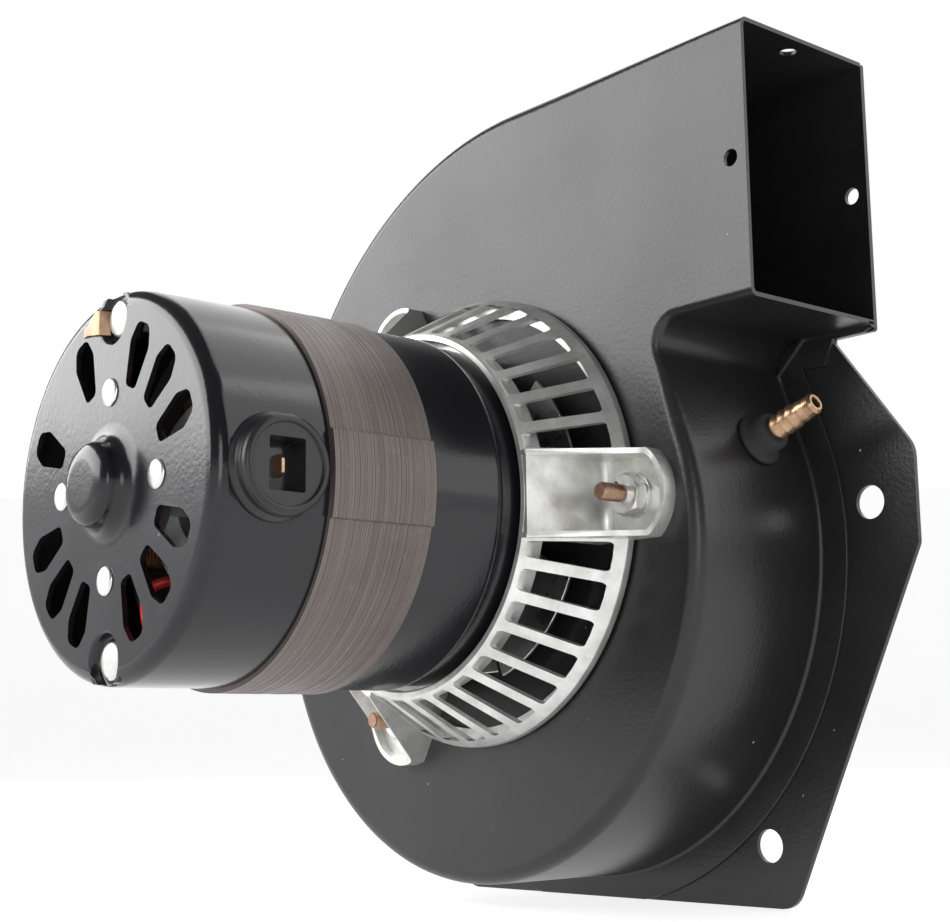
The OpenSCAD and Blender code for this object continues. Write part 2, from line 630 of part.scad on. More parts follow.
// ---- Power inlet ----
module power_receptacle() {
    color([0.08, 0.08, 0.09]) forward() difference() {
        outward(0, socket_z) {
            intersection() {
                disc(socket_r, motor_r - 4, socket_face - 0.8);
                rotate([0, -90, 0]) translate([0, 0, -20])
                    tube(socket_face + 1, motor_r + 0.3, 0, 40);
            }
            translate([0, 0, socket_face - 0.8])
                cylinder(r1 = socket_r, r2 = socket_r - 0.8, h = 0.8);
            disc(socket_r - 1.3, motor_r - 9, socket_face - 1);
        }
        translate([motor_r - 7, -socket_h / 2, socket_z - socket_w / 2])
            cube([20, socket_h, socket_w]);
    }
}
module contact_blades() {
    color([0.85, 0.65, 0.3]) forward() for (at = [[0, 9.4], [-2.6, 5]])
        translate([motor_r - 7, -2.3, socket_z + at[0] - 0.4]) cube([at[1], 4.6, 0.8]);
}
// Each lead is one sweep: straight in from the receptacle, then round and down to a coil
module lead() {
    across = lead_reach - lead_v;
    drop = socket_z - coil_top - lead_r;
    r = norm([across, drop]) / (1 - cos(lead_turn));
    translate([motor_r - 9, lead_v, socket_z]) rotate([-atan2(drop, across), 0, 0])
        translate([0, r, 0]) rotate([0, 0, 270 - lead_turn])
            rotate_extrude(angle = lead_turn) translate([r, 0]) circle(lead_r);
}
module lead_wires() {
    color([0.7, 0.1, 0.1]) forward() for (m = [0, 1]) mirror([0, m, 0]) lead();
}

// ---- Rotor ----
module rotor_shaft() {
    color([0.75, 0.76, 0.78]) forward() difference() {
        disc(shaft_r, wheel_1 - 15.5, face_d + hub_h - bell_t - 1);
        translate([shaft_r - 0.9, -5, wheel_1 - 16]) cube([4, 10, 13]);
    }
}
module rotor_core() {
    color([0.55, 0.53, 0.5]) forward() difference() {
        disc(rotor_r, stack_0, stack_1);
        disc(shaft_r, stack_0 - 1, stack_1 + 1);
    }
}
module rotor_end_rings() {
    color([0.78, 0.79, 0.8]) forward() for (z = [stack_0 - 4, stack_1]) {
        tube(rotor_r - 1.5, 11, z, z + 4);
    }
}
module thrust_washers() {
    rear_z = cup_floor - hub_h + bell_t + bearing_l;
    front_z = face_d + hub_h - bell_t - bearing_l;
    color([0.9, 0.9, 0.86]) forward() {
        tube(7, shaft_r, rear_z + 1.9, rear_z + 3.3);
        tube(5.2, shaft_r, rear_z + 3.3, stack_0);
        tube(7, shaft_r, front_z - 3.3, front_z - 1.9);
        tube(5.2, shaft_r, stack_1, front_z - 3.3);
    }
}
module fan_hub() {
    color([0.7, 0.71, 0.72]) forward() {
        tube(6.5, shaft_r, ring_base + 2.2, cup_floor - hub_h - 1);
        tube(9, 6, ring_base + 2.2, fan_z);
    }
}
// Stamped fan: flat sectors, with a vane bent up from the gap beside each
module cooling_fan() {
    t = 0.8;
    color([0.82, 0.83, 0.84]) forward() translate([0, 0, fan_z]) {
        tube(20, 6.5, 0, t);
        spin(5) {
            slab(concat(arc([0, 0], 18, 0, 50, 4), arc([0, 0], fan_r, 50, 0, 12)), 0, t);
            intersection() {
                tube(fan_r, 18, 0, 7.5);
                rotate([-38, 0, 0]) translate([12, -14.4, 0]) cube([32, 14.4, t]);
            }
        }
    }
}
module wheel_backplate() {
    color([0.6, 0.6, 0.6]) forward() difference() {
        disc(wheel_r, wheel_1 - 1, wheel_1);
        disc(9.3, wheel_1 - 3, wheel_1 + 3);
        spin(4, 45) translate([12, 0, 0]) disc(1.55, wheel_1 - 3, wheel_1 + 3);
    }
}
// Forward-curved blade section, from the wheel's inner to its outer radius
function blade_line(o) = [for (i = [0:5]) let(s = i / 5, r = wheel_r - 0.6 - (blade_depth - 0.6) * (1 - s),
    a = 9 * s * s - 3 * s + o / r * 57.3) r * unit(a)];
module wheel_blades() {
    line = blade_line(0.7);
    color([0.62, 0.62, 0.62]) forward() spin(blade_count)
        slab(concat(blade_line(0), [for (i = [5:-1:0]) line[i]]), wheel_0 + 1.2, wheel_1 - 1);
}
module wheel_rim() {
    color([0.62, 0.62, 0.62]) forward()
        tube(wheel_r, wheel_r - blade_depth, wheel_0, wheel_0 + 1.2);
}
module wheel_hub() {
    z = wheel_1 - 1;
    color([0.68, 0.69, 0.7]) forward() difference() {
        union() {
            tube(9, shaft_r + fit, z - 14, z + 2);
            tube(15, 8.5, z - 2, z);
        }
        outward(0, z - 9) disc(2, 0, 12);
        spin(4, 45) translate([12, 0, 0]) disc(1.55, z - 3, z + 1);
    }
}
module hub_rivets() {
    z = wheel_1 - 1;
    color([0.8, 0.8, 0.8]) forward() spin(4, 45) translate([12, 0, 0]) {
        disc(1.5, z - 2, z + 1);
        disc(2.5, z - 3, z - 2);
        disc(2.5, z + 1, z + 2);
    }
}
module set_screw() {
    color([0.25, 0.25, 0.27]) forward() outward(0, wheel_1 - 10) difference() {
        disc(1.95, shaft_r - 0.88, 9.6);
        translate([0, 0, 7.6]) cylinder(r = 1.15, h = 3, $fn = 6);
    }
}

scroll_housing();
mounting_plate();
hose_barb();
barb_grommet();
mount_ring();
ring_studs();
ring_washers();
ring_nuts();
rear_bell();
front_bell();
stator_core();
stator_coils();
shading_rings();
slot_liners();
front_bearing();
rear_bearing();
front_retainer();
rear_retainer();
front_felt();
rear_felt();
retainer_rivets();
rear_rivets();
through_bolts();
bolt_nuts();
ground_clip();
power_receptacle();
contact_blades();
lead_wires();
rotor_shaft();
rotor_core();
rotor_end_rings();
thrust_washers();
cooling_fan();
fan_hub();
wheel_backplate();
wheel_blades();
wheel_rim();
wheel_hub();
hub_rivets();
set_screw();
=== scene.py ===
import bpy
import bmesh
import json
from math import radians, degrees, sin, cos, tan, pi, atan2, asin, acos, sqrt
from mathutils import Matrix, Vector


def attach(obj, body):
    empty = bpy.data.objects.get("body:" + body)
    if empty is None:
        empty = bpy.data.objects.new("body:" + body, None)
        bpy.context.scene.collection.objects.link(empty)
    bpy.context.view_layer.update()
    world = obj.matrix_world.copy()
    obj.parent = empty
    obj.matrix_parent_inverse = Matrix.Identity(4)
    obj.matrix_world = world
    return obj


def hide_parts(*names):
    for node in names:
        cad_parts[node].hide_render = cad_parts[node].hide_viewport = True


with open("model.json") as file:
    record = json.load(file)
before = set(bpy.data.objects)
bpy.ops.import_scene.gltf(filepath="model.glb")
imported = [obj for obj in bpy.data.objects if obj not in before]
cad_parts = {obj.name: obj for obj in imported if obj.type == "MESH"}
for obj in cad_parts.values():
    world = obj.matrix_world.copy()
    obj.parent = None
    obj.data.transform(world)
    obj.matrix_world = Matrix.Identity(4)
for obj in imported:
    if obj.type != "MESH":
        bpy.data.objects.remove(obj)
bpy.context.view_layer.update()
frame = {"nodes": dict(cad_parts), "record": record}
nodes = frame["nodes"]
print("frame loaded:", len(nodes), "nodes")

# Pieces are drawn in millimetres with the shaft along +z, forward from the plate's back face,
# x to the outlet and y up. toFrame turns a finished mesh into the CAD's frame, in metres.
toFrame = Matrix.Rotation(radians(90), 4, "X") @ Matrix.Scale(0.001, 4)


# ---------- drawing helpers

def pick(sizes, names):
    return [sizes[name] for name in names.split()]


def shift(x=0, y=0, z=0):
    return Matrix.Translation((x, y, z))


def spin(angle, axis="Z"):
    return Matrix.Rotation(radians(angle), 4, axis)


def ray(angle, r=1.0):
    return Vector((r * cos(radians(angle)), r * sin(radians(angle))))


def ellipse(cx, cy, rx, ry, angles):
    return [(cx + rx * cos(radians(a)), cy + ry * sin(radians(a))) for a in angles]


def arcOf(cx, cy, r, a0, a1, n):
    return ellipse(cx, cy, r, r, [a0 + (a1 - a0) * i / n for i in range(n + 1)])


def circleOf(cx, cy, r, n=32):
    return arcOf(cx, cy, r, 0, 360, n)[:-1]


def roundedLoop(corners, n=5):
    # corners are (x, y, radius)
    loop = []
    for i, (x, y, r) in enumerate(corners):
        here = Vector((x, y))
        before = Vector(corners[i - 1][:2]) - here
        after = Vector(corners[(i + 1) % len(corners)][:2]) - here
        if r == 0:
            loop.append((x, y))
            continue
        u, v = before.normalized(), after.normalized()
        half = u.angle(v) / 2
        centre = here + (u + v).normalized() * r / sin(half)
        start = here + u * r / tan(half) - centre
        end = here + v * r / tan(half) - centre
        a0 = atan2(start.y, start.x)
        turn = atan2(start.x * end.y - start.y * end.x, start.dot(end))
        loop += arcOf(centre.x, centre.y, r, degrees(a0), degrees(a0 + turn), n)
    return loop


def stand(name, data):
    piece = bpy.data.objects.new(name, data)
    bpy.context.scene.collection.objects.link(piece)
    return piece


def draft(name, verts, faces):
    mesh = bpy.data.meshes.new(name)
    mesh.from_pydata([tuple(v) for v in verts], [], faces)
    return stand(name, mesh)


def fromDraft(name, bm):
    mesh = bpy.data.meshes.new(name)
    bm.to_mesh(mesh)
    bm.free()
    return stand(name, mesh)


def outward(piece, weld=1e-4):
    bm = bmesh.new()
    bm.from_mesh(piece.data)
    bmesh.ops.remove_doubles(bm, verts=bm.verts, dist=weld)
    bmesh.ops.recalc_face_normals(bm, faces=bm.faces)
    bm.to_mesh(piece.data)
    bm.free()
    return piece


def bake(piece):
    bpy.context.view_layer.update()
    evaluated = piece.evaluated_get(bpy.context.evaluated_depsgraph_get())
    mesh = bpy.data.meshes.new_from_object(evaluated)
    piece.modifiers.clear()
    piece.data = mesh
    return piece


def lathe(name, profile, steps=96, closed=True):
    # profile is (radius, z) pairs; radius 0 makes a pole
    verts, faces, rings = [], [], []
    for r, z in profile:
        if r < 1e-6:
            rings.append([len(verts)] * steps)
            verts.append((0, 0, z))
        else:
            rings.append(list(range(len(verts), len(verts) + steps)))
            verts += [(r * cos(2 * pi * i / steps), r * sin(2 * pi * i / steps), z) for i in range(steps)]
    pairs = list(zip(rings, rings[1:])) + ([(rings[-1], rings[0])] if closed else [])
    for low, high in pairs:
        for i in range(steps):
            j = (i + 1) % steps
            corner = []
            for v in (low[i], low[j], high[j], high[i]):
                if v not in corner:
                    corner.append(v)
            if len(corner) > 2:
                faces.append(corner)
    return outward(draft(name, verts, faces))


def turned(name, profile, steps=96):
    # solid of revolution with flat ends
    return lathe(name, [(0, profile[0][1]), *profile, (0, profile[-1][1])], steps, closed=False)


def bar(name, r, z0, z1, steps, x=0, y=0):
    return moved(turned(name, [(r, z0), (r, z1)], steps), shift(x, y))


def slab(name, loops, z0, z1):
    # flat plate with the first loop as its outline and the others as holes
    bm = bmesh.new()
    levels = []
    for z in (z0, z1):
        rims = [[bm.verts.new((x, y, z)) for x, y in loop] for loop in loops]
        edges = [bm.edges.new((rim[i - 1], rim[i])) for rim in rims for i in range(len(rim))]
        bmesh.ops.triangle_fill(bm, use_beauty=True, edges=edges)
        levels.append(rims)
    for low, high in zip(*levels):
        for i in range(len(low)):
            bm.faces.new((low[i - 1], low[i], high[i], high[i - 1]))
    bmesh.ops.recalc_face_normals(bm, faces=bm.faces)
    return fromDraft(name, bm)


def moved(piece, *steps):
    for step in steps:
        piece.data.transform(step)
    return piece


def joined(name, pieces):
    bm = bmesh.new()
    for piece in pieces:
        bm.from_mesh(piece.data)
        bpy.data.objects.remove(piece)
    return fromDraft(name, bm)


def modify(piece, kind, **settings):
    made = piece.modifiers.new(kind.lower(), kind)
    for label, value in settings.items():
        setattr(made, label, value)
    return bake(piece)


def carve(piece, cutter, how="DIFFERENCE"):
    modify(piece, "BOOLEAN", operation=how, object=cutter, solver="EXACT")
    bpy.data.objects.remove(cutter)
    return piece


def sheet(piece, thickness, offset=-1.0):
    return modify(piece, "SOLIDIFY", thickness=thickness, offset=offset, use_even_offset=True)


def soften(piece, width, segments=2, angle=35):
    return modify(piece, "BEVEL", width=width, segments=segments, limit_method="ANGLE", angle_limit=radians(angle))


def mergeFlats(piece, angle=0.4):
    # joins faces that lie in one plane, so that a bevel round a hole stays even
    return modify(piece, "DECIMATE", decimate_type="DISSOLVE", angle_limit=radians(angle))


def shade(piece, angle=38, weighted=True):
    piece.data.shade_smooth()
    piece.data.set_sharp_from_angle(angle=radians(angle))
    return modify(piece, "WEIGHTED_NORMAL", keep_sharp=True) if weighted else piece


def evenNormals(mesh, angle=50):
    # corner normals that follow the larger faces, so that flats stay flat beside their rounded edges
    limit = cos(radians(angle))
    normals = [face.normal.copy() for face in mesh.polygons]
    areas = [face.area for face in mesh.polygons]
    around = [[] for _ in mesh.vertices]
    for face in mesh.polygons:
        for v in face.vertices:
            around[v].append(face.index)
    corners = []
    for face in mesh.polygons:
        own = normals[face.index]
        for v in face.vertices:
            total = Vector((0, 0, 0))
            for other in around[v]:
                if normals[other].dot(own) > limit:
                    total += normals[other] * areas[other]
            corners.append(total.normalized() if total.length > 0 else own)
    mesh.normals_split_custom_set(corners)


def place(piece, body, slot, *stands, even=0):
    piece.data.transform(toFrame)
    if even:
        evenNormals(piece.data, even)
    piece.data.materials.clear()
    piece.data.materials.append(finishes[slot])
    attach(piece, body)
    if stands:
        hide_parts(*stands)
    return piece


# ---------- node helpers

def feed(tree, node, values):
    # gives each socket a constant or another node's output
    for label, value in values.items():
        socket = node.inputs[label]
        if hasattr(value, "is_output"):
            tree.links.new(value, socket)
        else:
            socket.default_value = value
    return node


def addNode(tree, kind, values=None, **settings):
    made = tree.nodes.new(kind)
    for label, value in settings.items():
        setattr(made, label, value)
    return feed(tree, made, values or {})


def calc(tree, operation, *values):
    return addNode(tree, "ShaderNodeMath", dict(enumerate(values)), operation=operation).outputs[0]


# ---------- Geometry Nodes for what repeats

def newTree(name, sockets):
    tree = bpy.data.node_groups.new(name, "GeometryNodeTree")
    tree.interface.new_socket("Geometry", in_out="INPUT", socket_type="NodeSocketGeometry")
    ids = {label: tree.interface.new_socket(label, in_out="INPUT", socket_type="NodeSocket" + kind).identifier
           for label, kind in sockets.items()}
    tree.interface.new_socket("Geometry", in_out="OUTPUT", socket_type="NodeSocketGeometry")
    return tree, ids, addNode(tree, "NodeGroupInput").outputs


def endTree(tree, geometry, material):
    finish = addNode(tree, "GeometryNodeSetMaterial", {"Geometry": geometry, "Material": material})
    addNode(tree, "NodeGroupOutput", {0: finish.outputs[0]})


def copiesTree():
    # copies of the incoming mesh, turned about z by a step and raised by a rise, each a little different
    tree, ids, given = newTree("copiesRoundShaft", {
        "Count": "Int", "First angle": "Float", "Step angle": "Float", "Rise": "Float", "Spread": "Float",
        "Turn spread": "Float", "Seed": "Int", "Weld": "Float", "Finish": "Material"})
    index = addNode(tree, "GeometryNodeInputIndex").outputs[0]

    def jitter(reach, change):
        seed = calc(tree, "ADD", given["Seed"], change)
        return addNode(tree, "FunctionNodeRandomValue", {
            2: calc(tree, "MULTIPLY", reach, -1), 3: reach, "Seed": seed}, data_type="FLOAT").outputs[1]

    angle = calc(tree, "MULTIPLY_ADD", index, given["Step angle"], given["First angle"])
    angle = calc(tree, "ADD", angle, jitter(given["Turn spread"], 0))
    turn = addNode(tree, "ShaderNodeCombineXYZ", {"Z": calc(tree, "RADIANS", angle)})
    size = calc(tree, "ADD", jitter(given["Spread"], 7), 1)
    scale = addNode(tree, "ShaderNodeCombineXYZ", {"X": size, "Y": size, "Z": 1})
    lift = addNode(tree, "ShaderNodeCombineXYZ", {"Z": calc(tree, "MULTIPLY", index, given["Rise"])})
    points = addNode(tree, "GeometryNodePoints", {"Count": given["Count"], "Position": lift.outputs[0]})
    spots = addNode(tree, "GeometryNodeInstanceOnPoints", {
        "Points": points.outputs[0], "Instance": given["Geometry"], "Rotation": turn.outputs[0],
        "Scale": scale.outputs[0]})
    whole = addNode(tree, "GeometryNodeRealizeInstances", {0: spots.outputs[0]})
    weld = addNode(tree, "GeometryNodeMergeByDistance", {"Geometry": whole.outputs[0], "Distance": given["Weld"]})
    endTree(tree, weld.outputs[0], given["Finish"])
    return tree, ids


def threadTree():
    # presses a screw thread into the side of a finely divided rod that stands along z
    tree, ids, given = newTree("screwThread", {
        "Rod radius": "Float", "Pitch": "Float", "Depth": "Float", "Finish": "Material"})
    where = addNode(tree, "GeometryNodeInputPosition").outputs[0]
    x, y, z = addNode(tree, "ShaderNodeSeparateXYZ", {0: where}).outputs
    around = calc(tree, "DIVIDE", calc(tree, "ARCTAN2", y, x), 2 * pi)
    wave = calc(tree, "FRACT", calc(tree, "SUBTRACT", calc(tree, "DIVIDE", z, given["Pitch"]), around))
    groove = calc(tree, "ABSOLUTE", calc(tree, "MULTIPLY_ADD", wave, 2, -1))
    flat = calc(tree, "MINIMUM", calc(tree, "MULTIPLY", groove, 1.25), 1)
    share = calc(tree, "DIVIDE", calc(tree, "MULTIPLY", given["Depth"], flat), given["Rod radius"])
    keep = calc(tree, "SUBTRACT", 1, share)
    shape = addNode(tree, "ShaderNodeCombineXYZ", {
        "X": calc(tree, "MULTIPLY", x, keep), "Y": calc(tree, "MULTIPLY", y, keep), "Z": z})
    square = calc(tree, "ADD", calc(tree, "MULTIPLY", x, x), calc(tree, "MULTIPLY", y, y))
    side = calc(tree, "GREATER_THAN", calc(tree, "SQRT", square), calc(tree, "MULTIPLY", given["Rod radius"], 0.97))
    press = addNode(tree, "GeometryNodeSetPosition", {
        "Geometry": given["Geometry"], "Selection": side, "Position": shape.outputs[0]})
    whole = addNode(tree, "GeometryNodeRealizeInstances", {0: press.outputs[0]})
    endTree(tree, whole.outputs[0], given["Finish"])
    return tree, ids


repeats = {"copies": copiesTree(), "thread": threadTree()}


def grown(piece, kind, values):
    made = piece.modifiers.new(kind, "NODES")
    made.node_group, ids = repeats[kind]
    for label, value in values.items():
        made[ids[label]] = value
    return bake(piece)


def copies(piece, slot, count, step, rise=0.0, spread=0.0, turnSpread=0.0, seed=1, weld=0.0005):
    return grown(piece, "copies", {
        "Count": count, "First angle": 0.0, "Step angle": float(step), "Rise": float(rise), "Spread": spread,
        "Turn spread": turnSpread, "Seed": seed, "Weld": weld, "Finish": finishes[slot]})


def threaded(piece, slot, r, pitch, depth):
    return grown(piece, "thread", {"Rod radius": r, "Pitch": pitch, "Depth": depth, "Finish": finishes[slot]})


# ---------- finishes

def startFinish(name):
    finish = bpy.data.materials.new(name)
    finish.use_nodes = True
    tree = finish.node_tree
    return finish, tree, tree.nodes["Principled BSDF"], addNode(tree, "ShaderNodeTexCoord").outputs["Object"]


def noise(tree, spot, scale, detail=4.0, rough=0.55, stretch=None, distort=0.0):
    if stretch:
        spot = addNode(tree, "ShaderNodeMapping", {"Scale": stretch, "Vector": spot}).outputs[0]
    return addNode(tree, "ShaderNodeTexNoise", {"Vector": spot, "Scale": scale, "Detail": detail, "Roughness": rough,
                                                "Distortion": distort}).outputs["Fac"]


def ramp(tree, fac, stops):
    made = addNode(tree, "ShaderNodeValToRGB", {0: fac})
    for mark, (at, colour) in zip(made.color_ramp.elements, stops):
        mark.position, mark.color = at, (*colour, 1)
    return made.outputs[0]


def remap(tree, fac, low, high, outLow, outHigh):
    return addNode(tree, "ShaderNodeMapRange", {"Value": fac, "From Min": low, "From Max": high, "To Min": outLow,
                                                "To Max": outHigh}).outputs[0]


def mixColour(tree, fac, *ends):
    first, second = [(*end, 1) if isinstance(end, tuple) else end for end in ends]
    return addNode(tree, "ShaderNodeMix", {0: fac, 6: first, 7: second}, data_type="RGBA").outputs[2]


def specks(tree, spot, scale, size, share):
    # small round spots, one in some of the cells
    cells = addNode(tree, "ShaderNodeTexVoronoi", {"Scale": scale, "Vector": spot}).outputs
    chosen = addNode(tree, "ShaderNodeSeparateColor", {0: cells["Color"]}).outputs
    near = calc(tree, "LESS_THAN", cells["Distance"], calc(tree, "MULTIPLY", chosen[1], size))
    return calc(tree, "MULTIPLY", near, calc(tree, "LESS_THAN", chosen[0], share))


def bump(tree, shader, height, strength, distance, before=None):
    values = {"Strength": strength, "Distance": distance, "Height": height}
    if before:
        values["Normal"] = before
    made = addNode(tree, "ShaderNodeBump", values).outputs[0]
    tree.links.new(made, shader.inputs["Normal"])
    return made


def blackCoat(name, dark, light, rough, grain, dust):
    # sprayed black coating on sheet steel, with handling marks and dust
    finish, tree, shader, spot = startFinish(name)
    cloud = noise(tree, spot, 26, 5)
    base = ramp(tree, cloud, [(0.3, dark), (0.72, light)])
    scuff = noise(tree, spot, 60, 6, 0.7, (1, 0.25, 3.5), 0.6)
    scuffed = remap(tree, scuff, 0.63, 0.8, 0.0, 0.35)
    base = mixColour(tree, scuffed, base, tuple(min(1, c * 2.6 + 0.02) for c in light))
    grit = specks(tree, spot, 190, 0.075, dust)
    sheen = calc(tree, "ADD", remap(tree, cloud, 0.3, 0.75, rough - 0.05, rough + 0.07),
                 remap(tree, scuff, 0.6, 0.85, 0.0, 0.12))
    feed(tree, shader, {"Base Color": mixColour(tree, grit, base, (0.32, 0.31, 0.29)),
                        "Roughness": calc(tree, "ADD", sheen, calc(tree, "MULTIPLY", grit, 0.4))})
    peel = bump(tree, shader, noise(tree, spot, 900, 2), grain, 0.00012)
    broad = bump(tree, shader, noise(tree, spot, 14, 2), 0.35, 0.0012, peel)
    bump(tree, shader, grit, 0.5, 0.00015, broad)
    return finish


def bareMetal(name, dark, light, rough, metal, grainScale, stain=None, stretch=(1, 1, 1)):
    # plated or bare metal with rolling grain, stains and fine pits
    finish, tree, shader, spot = startFinish(name)
    grain = noise(tree, spot, grainScale, 6, 0.65, stretch)
    cloud = noise(tree, spot, 120, 4)
    base = ramp(tree, grain, [(0.32, dark), (0.68, light)])
    if stain:
        base = mixColour(tree, remap(tree, cloud, 0.56, 0.74, 0.0, 0.55), base, stain)
    feed(tree, shader, {"Base Color": base, "Metallic": metal,
                        "Roughness": remap(tree, cloud, 0.3, 0.7, rough - 0.07, rough + 0.1)})
    marks = bump(tree, shader, grain, 0.25, 0.00008)
    bump(tree, shader, noise(tree, spot, 1400, 2), 0.15, 0.00006, marks)
    return finish


def laminated(name, dark, light, pitch):
    # edges of stacked punchings: a tone for each sheet, varnish and a bloom of rust
    finish, tree, shader, spot = startFinish(name)
    layer = noise(tree, spot, 1.0, 1, 0.5, (9, 1000 / pitch, 9))
    cloud = noise(tree, spot, 40, 4, 0.6)
    base = ramp(tree, layer, [(0.3, dark), (0.7, light)])
    base = mixColour(tree, remap(tree, cloud, 0.45, 0.75, 0.0, 0.45), base, (0.105, 0.075, 0.068))
    mottle = noise(tree, spot, 420, 4, 0.75, (1, 2, 1))
    base = mixColour(tree, remap(tree, mottle, 0.6, 0.78, 0.0, 0.5), base, (0.34, 0.3, 0.28))
    feed(tree, shader, {"Base Color": base, "Metallic": 0.35, "Roughness": remap(tree, cloud, 0.3, 0.7, 0.4, 0.55)})
    rough = bump(tree, shader, mottle, 0.3, 0.0001)
    bump(tree, shader, layer, 0.3, 0.0001, rough)
    return finish


def woundWire(name, dark, light, pitch):
    finish, tree, shader, spot = startFinish(name)
    strands = addNode(tree, "ShaderNodeTexWave", {"Scale": 1 / pitch / 3.2, "Distortion": 1.2, "Detail": 2,
                                                  "Vector": spot}, bands_direction="Y")
    tone = noise(tree, spot, 160, 3)
    feed(tree, shader, {"Base Color": mixColour(tree, remap(tree, tone, 0.35, 0.7, 0.0, 1.0), dark, light),
                        "Metallic": 0.7, "Coat Weight": 0.6, "Roughness": remap(tree, tone, 0.3, 0.7, 0.28, 0.45)})
    bump(tree, shader, strands.outputs["Fac"], 0.8, 0.0004)
    return finish


def moulded(name, colour, rough, grain=0.3, fuzz=0.0):
    finish, tree, shader, spot = startFinish(name)
    tone = noise(tree, spot, 90, 3)
    base = mixColour(tree, remap(tree, tone, 0.35, 0.7, 0.0, 1.0), tuple(c * 0.82 for c in colour), colour)
    feed(tree, shader, {"Base Color": base, "Sheen Weight": fuzz,
                        "Roughness": remap(tree, tone, 0.3, 0.7, rough - 0.06, rough + 0.08)})
    bump(tree, shader, noise(tree, spot, 1500, 3), grain, 0.00008)
    return finish


finishes = {
    "black_paint": blackCoat("satinBlackSteel", (0.011, 0.011, 0.012), (0.018, 0.018, 0.019), 0.31, 0.5, 0.2),
    "motor_black": blackCoat("glossyMotorEnamel", (0.008, 0.008, 0.010), (0.012, 0.012, 0.015), 0.17, 0.2, 0.06),
    "zinc_ring": bareMetal("brightZincRing", (0.6, 0.6, 0.57), (0.92, 0.92, 0.9), 0.36, 0.75, 110,
                           (0.5, 0.48, 0.38)),
    "zinc_fastener": bareMetal("zincFastener", (0.66, 0.66, 0.64), (0.86, 0.86, 0.83), 0.3, 0.85, 200),
    "copper_stud": bareMetal("copperedStud", (0.26, 0.135, 0.09), (0.46, 0.3, 0.22), 0.36, 0.9, 240),
    "brass": bareMetal("dullBrass", (0.3, 0.18, 0.11), (0.58, 0.38, 0.24), 0.34, 0.9, 220, (0.42, 0.22, 0.2)),
    "black_rubber": moulded("blackRubber", (0.02, 0.02, 0.021), 0.7),
    "lamination": laminated("stackedLaminations", (0.125, 0.106, 0.096), (0.185, 0.16, 0.146), 0.6),
    "copper_wire": woundWire("enamelledWinding", (0.3, 0.11, 0.045), (0.62, 0.3, 0.13), 0.0008),
    "liner": moulded("slotLinerFilm", (0.7, 0.66, 0.52), 0.45),
    "sintered": bareMetal("sinteredBronze", (0.3, 0.2, 0.12), (0.5, 0.36, 0.22), 0.5, 0.85, 700),
    "felt": moulded("oilFelt", (0.6, 0.56, 0.45), 0.9, 1.0, 0.4),
    "black_plastic": moulded("blackMoulding", (0.016, 0.016, 0.018), 0.34, 0.2),
    "red_wire": moulded("redLead", (0.55, 0.02, 0.025), 0.35, 0.15),
    "ground_steel": bareMetal("groundShaft", (0.5, 0.5, 0.51), (0.72, 0.72, 0.73), 0.2, 1.0, 200,
                              stretch=(1, 12, 1)),
    "cast_alloy": bareMetal("castAlloy", (0.6, 0.61, 0.62), (0.8, 0.81, 0.82), 0.42, 1.0, 300),
    "fan_sheet": bareMetal("brightFanSheet", (0.7, 0.71, 0.72), (0.88, 0.88, 0.88), 0.28, 1.0, 90,
                           stretch=(6, 1, 1)),
    "wheel_steel": bareMetal("galvanisedWheel", (0.36, 0.37, 0.38), (0.6, 0.61, 0.62), 0.4, 1.0, 60,
                             (0.3, 0.27, 0.24)),
    "white_nylon": moulded("nylonWasher", (0.75, 0.74, 0.68), 0.4),
    "dark_screw": bareMetal("blackOxide", (0.03, 0.03, 0.032), (0.07, 0.07, 0.075), 0.4, 0.9, 240),
}
for entry in frame["record"]["subparts"]:
    cad = nodes[entry["node"]]
    cad.data.materials.clear()
    cad.data.materials.append(finishes[entry["material_slot"]])
print("finishes made:", len(finishes))


# ---------- scroll and mounting plate

scrollSize = {"depth": 44.5, "sheet": 1.0, "roundedEdge": 3.5, "ductEdge": 1.9, "flange": 7.5, "rootFillet": 0.9,
              "ductHole": 2.0, "shaftHole": 8.0, "studHole": 2.2, "faceHoleIn": 4.4, "topHoleIn": 5.4,
              "topHoleAt": 0.48}
plateSize = {"thick": 1.2, "inletHole": 47.5, "mountHole": 3.9, "edge": 0.25,
             "holes": [(87.2, -1.5), (53.2, -79.3), (-80.15, -66.1), (-80.15, 88.33)],
             "outline": [(-54, -93.5, 8), (60.2, -93.5, 6), (99.8, -12, 3), (99.8, 10, 7), (79.28, 37.13, 0),
                         (79.28, 38.13, 0), (90.98, 38.13, 0.8), (90.98, 103.83, 0.8), (39.85, 103.83, 0),
                         (39.85, 112.33, 3), (-62.15, 112.33, 8), (-95.15, 94.33, 6), (-101.15, 30, 8),
                         (-101.15, -30, 8), (-90.15, -76, 8)]}
lowArc, lowR = Vector((-6.1, -9)), 79.3        # the scroll's outline: three arcs, then the duct
sideArc, sideR = Vector((7.6, -9)), 65.6
highArc, highR = Vector((13.849, 1.832)), 102.0
meetAngle, cutAngle = 208.5, 20.0
cutCentre, cutR = Vector((68.278, 33.632)), 6.0
ductTop, ductLow, mouthX, topFlangeEnd = 103.832, 39.632, 90.979, 39.849
faceHole = (mouthX - scrollSize["faceHoleIn"], (ductTop + ductLow) / 2)
studCircle = 55.6


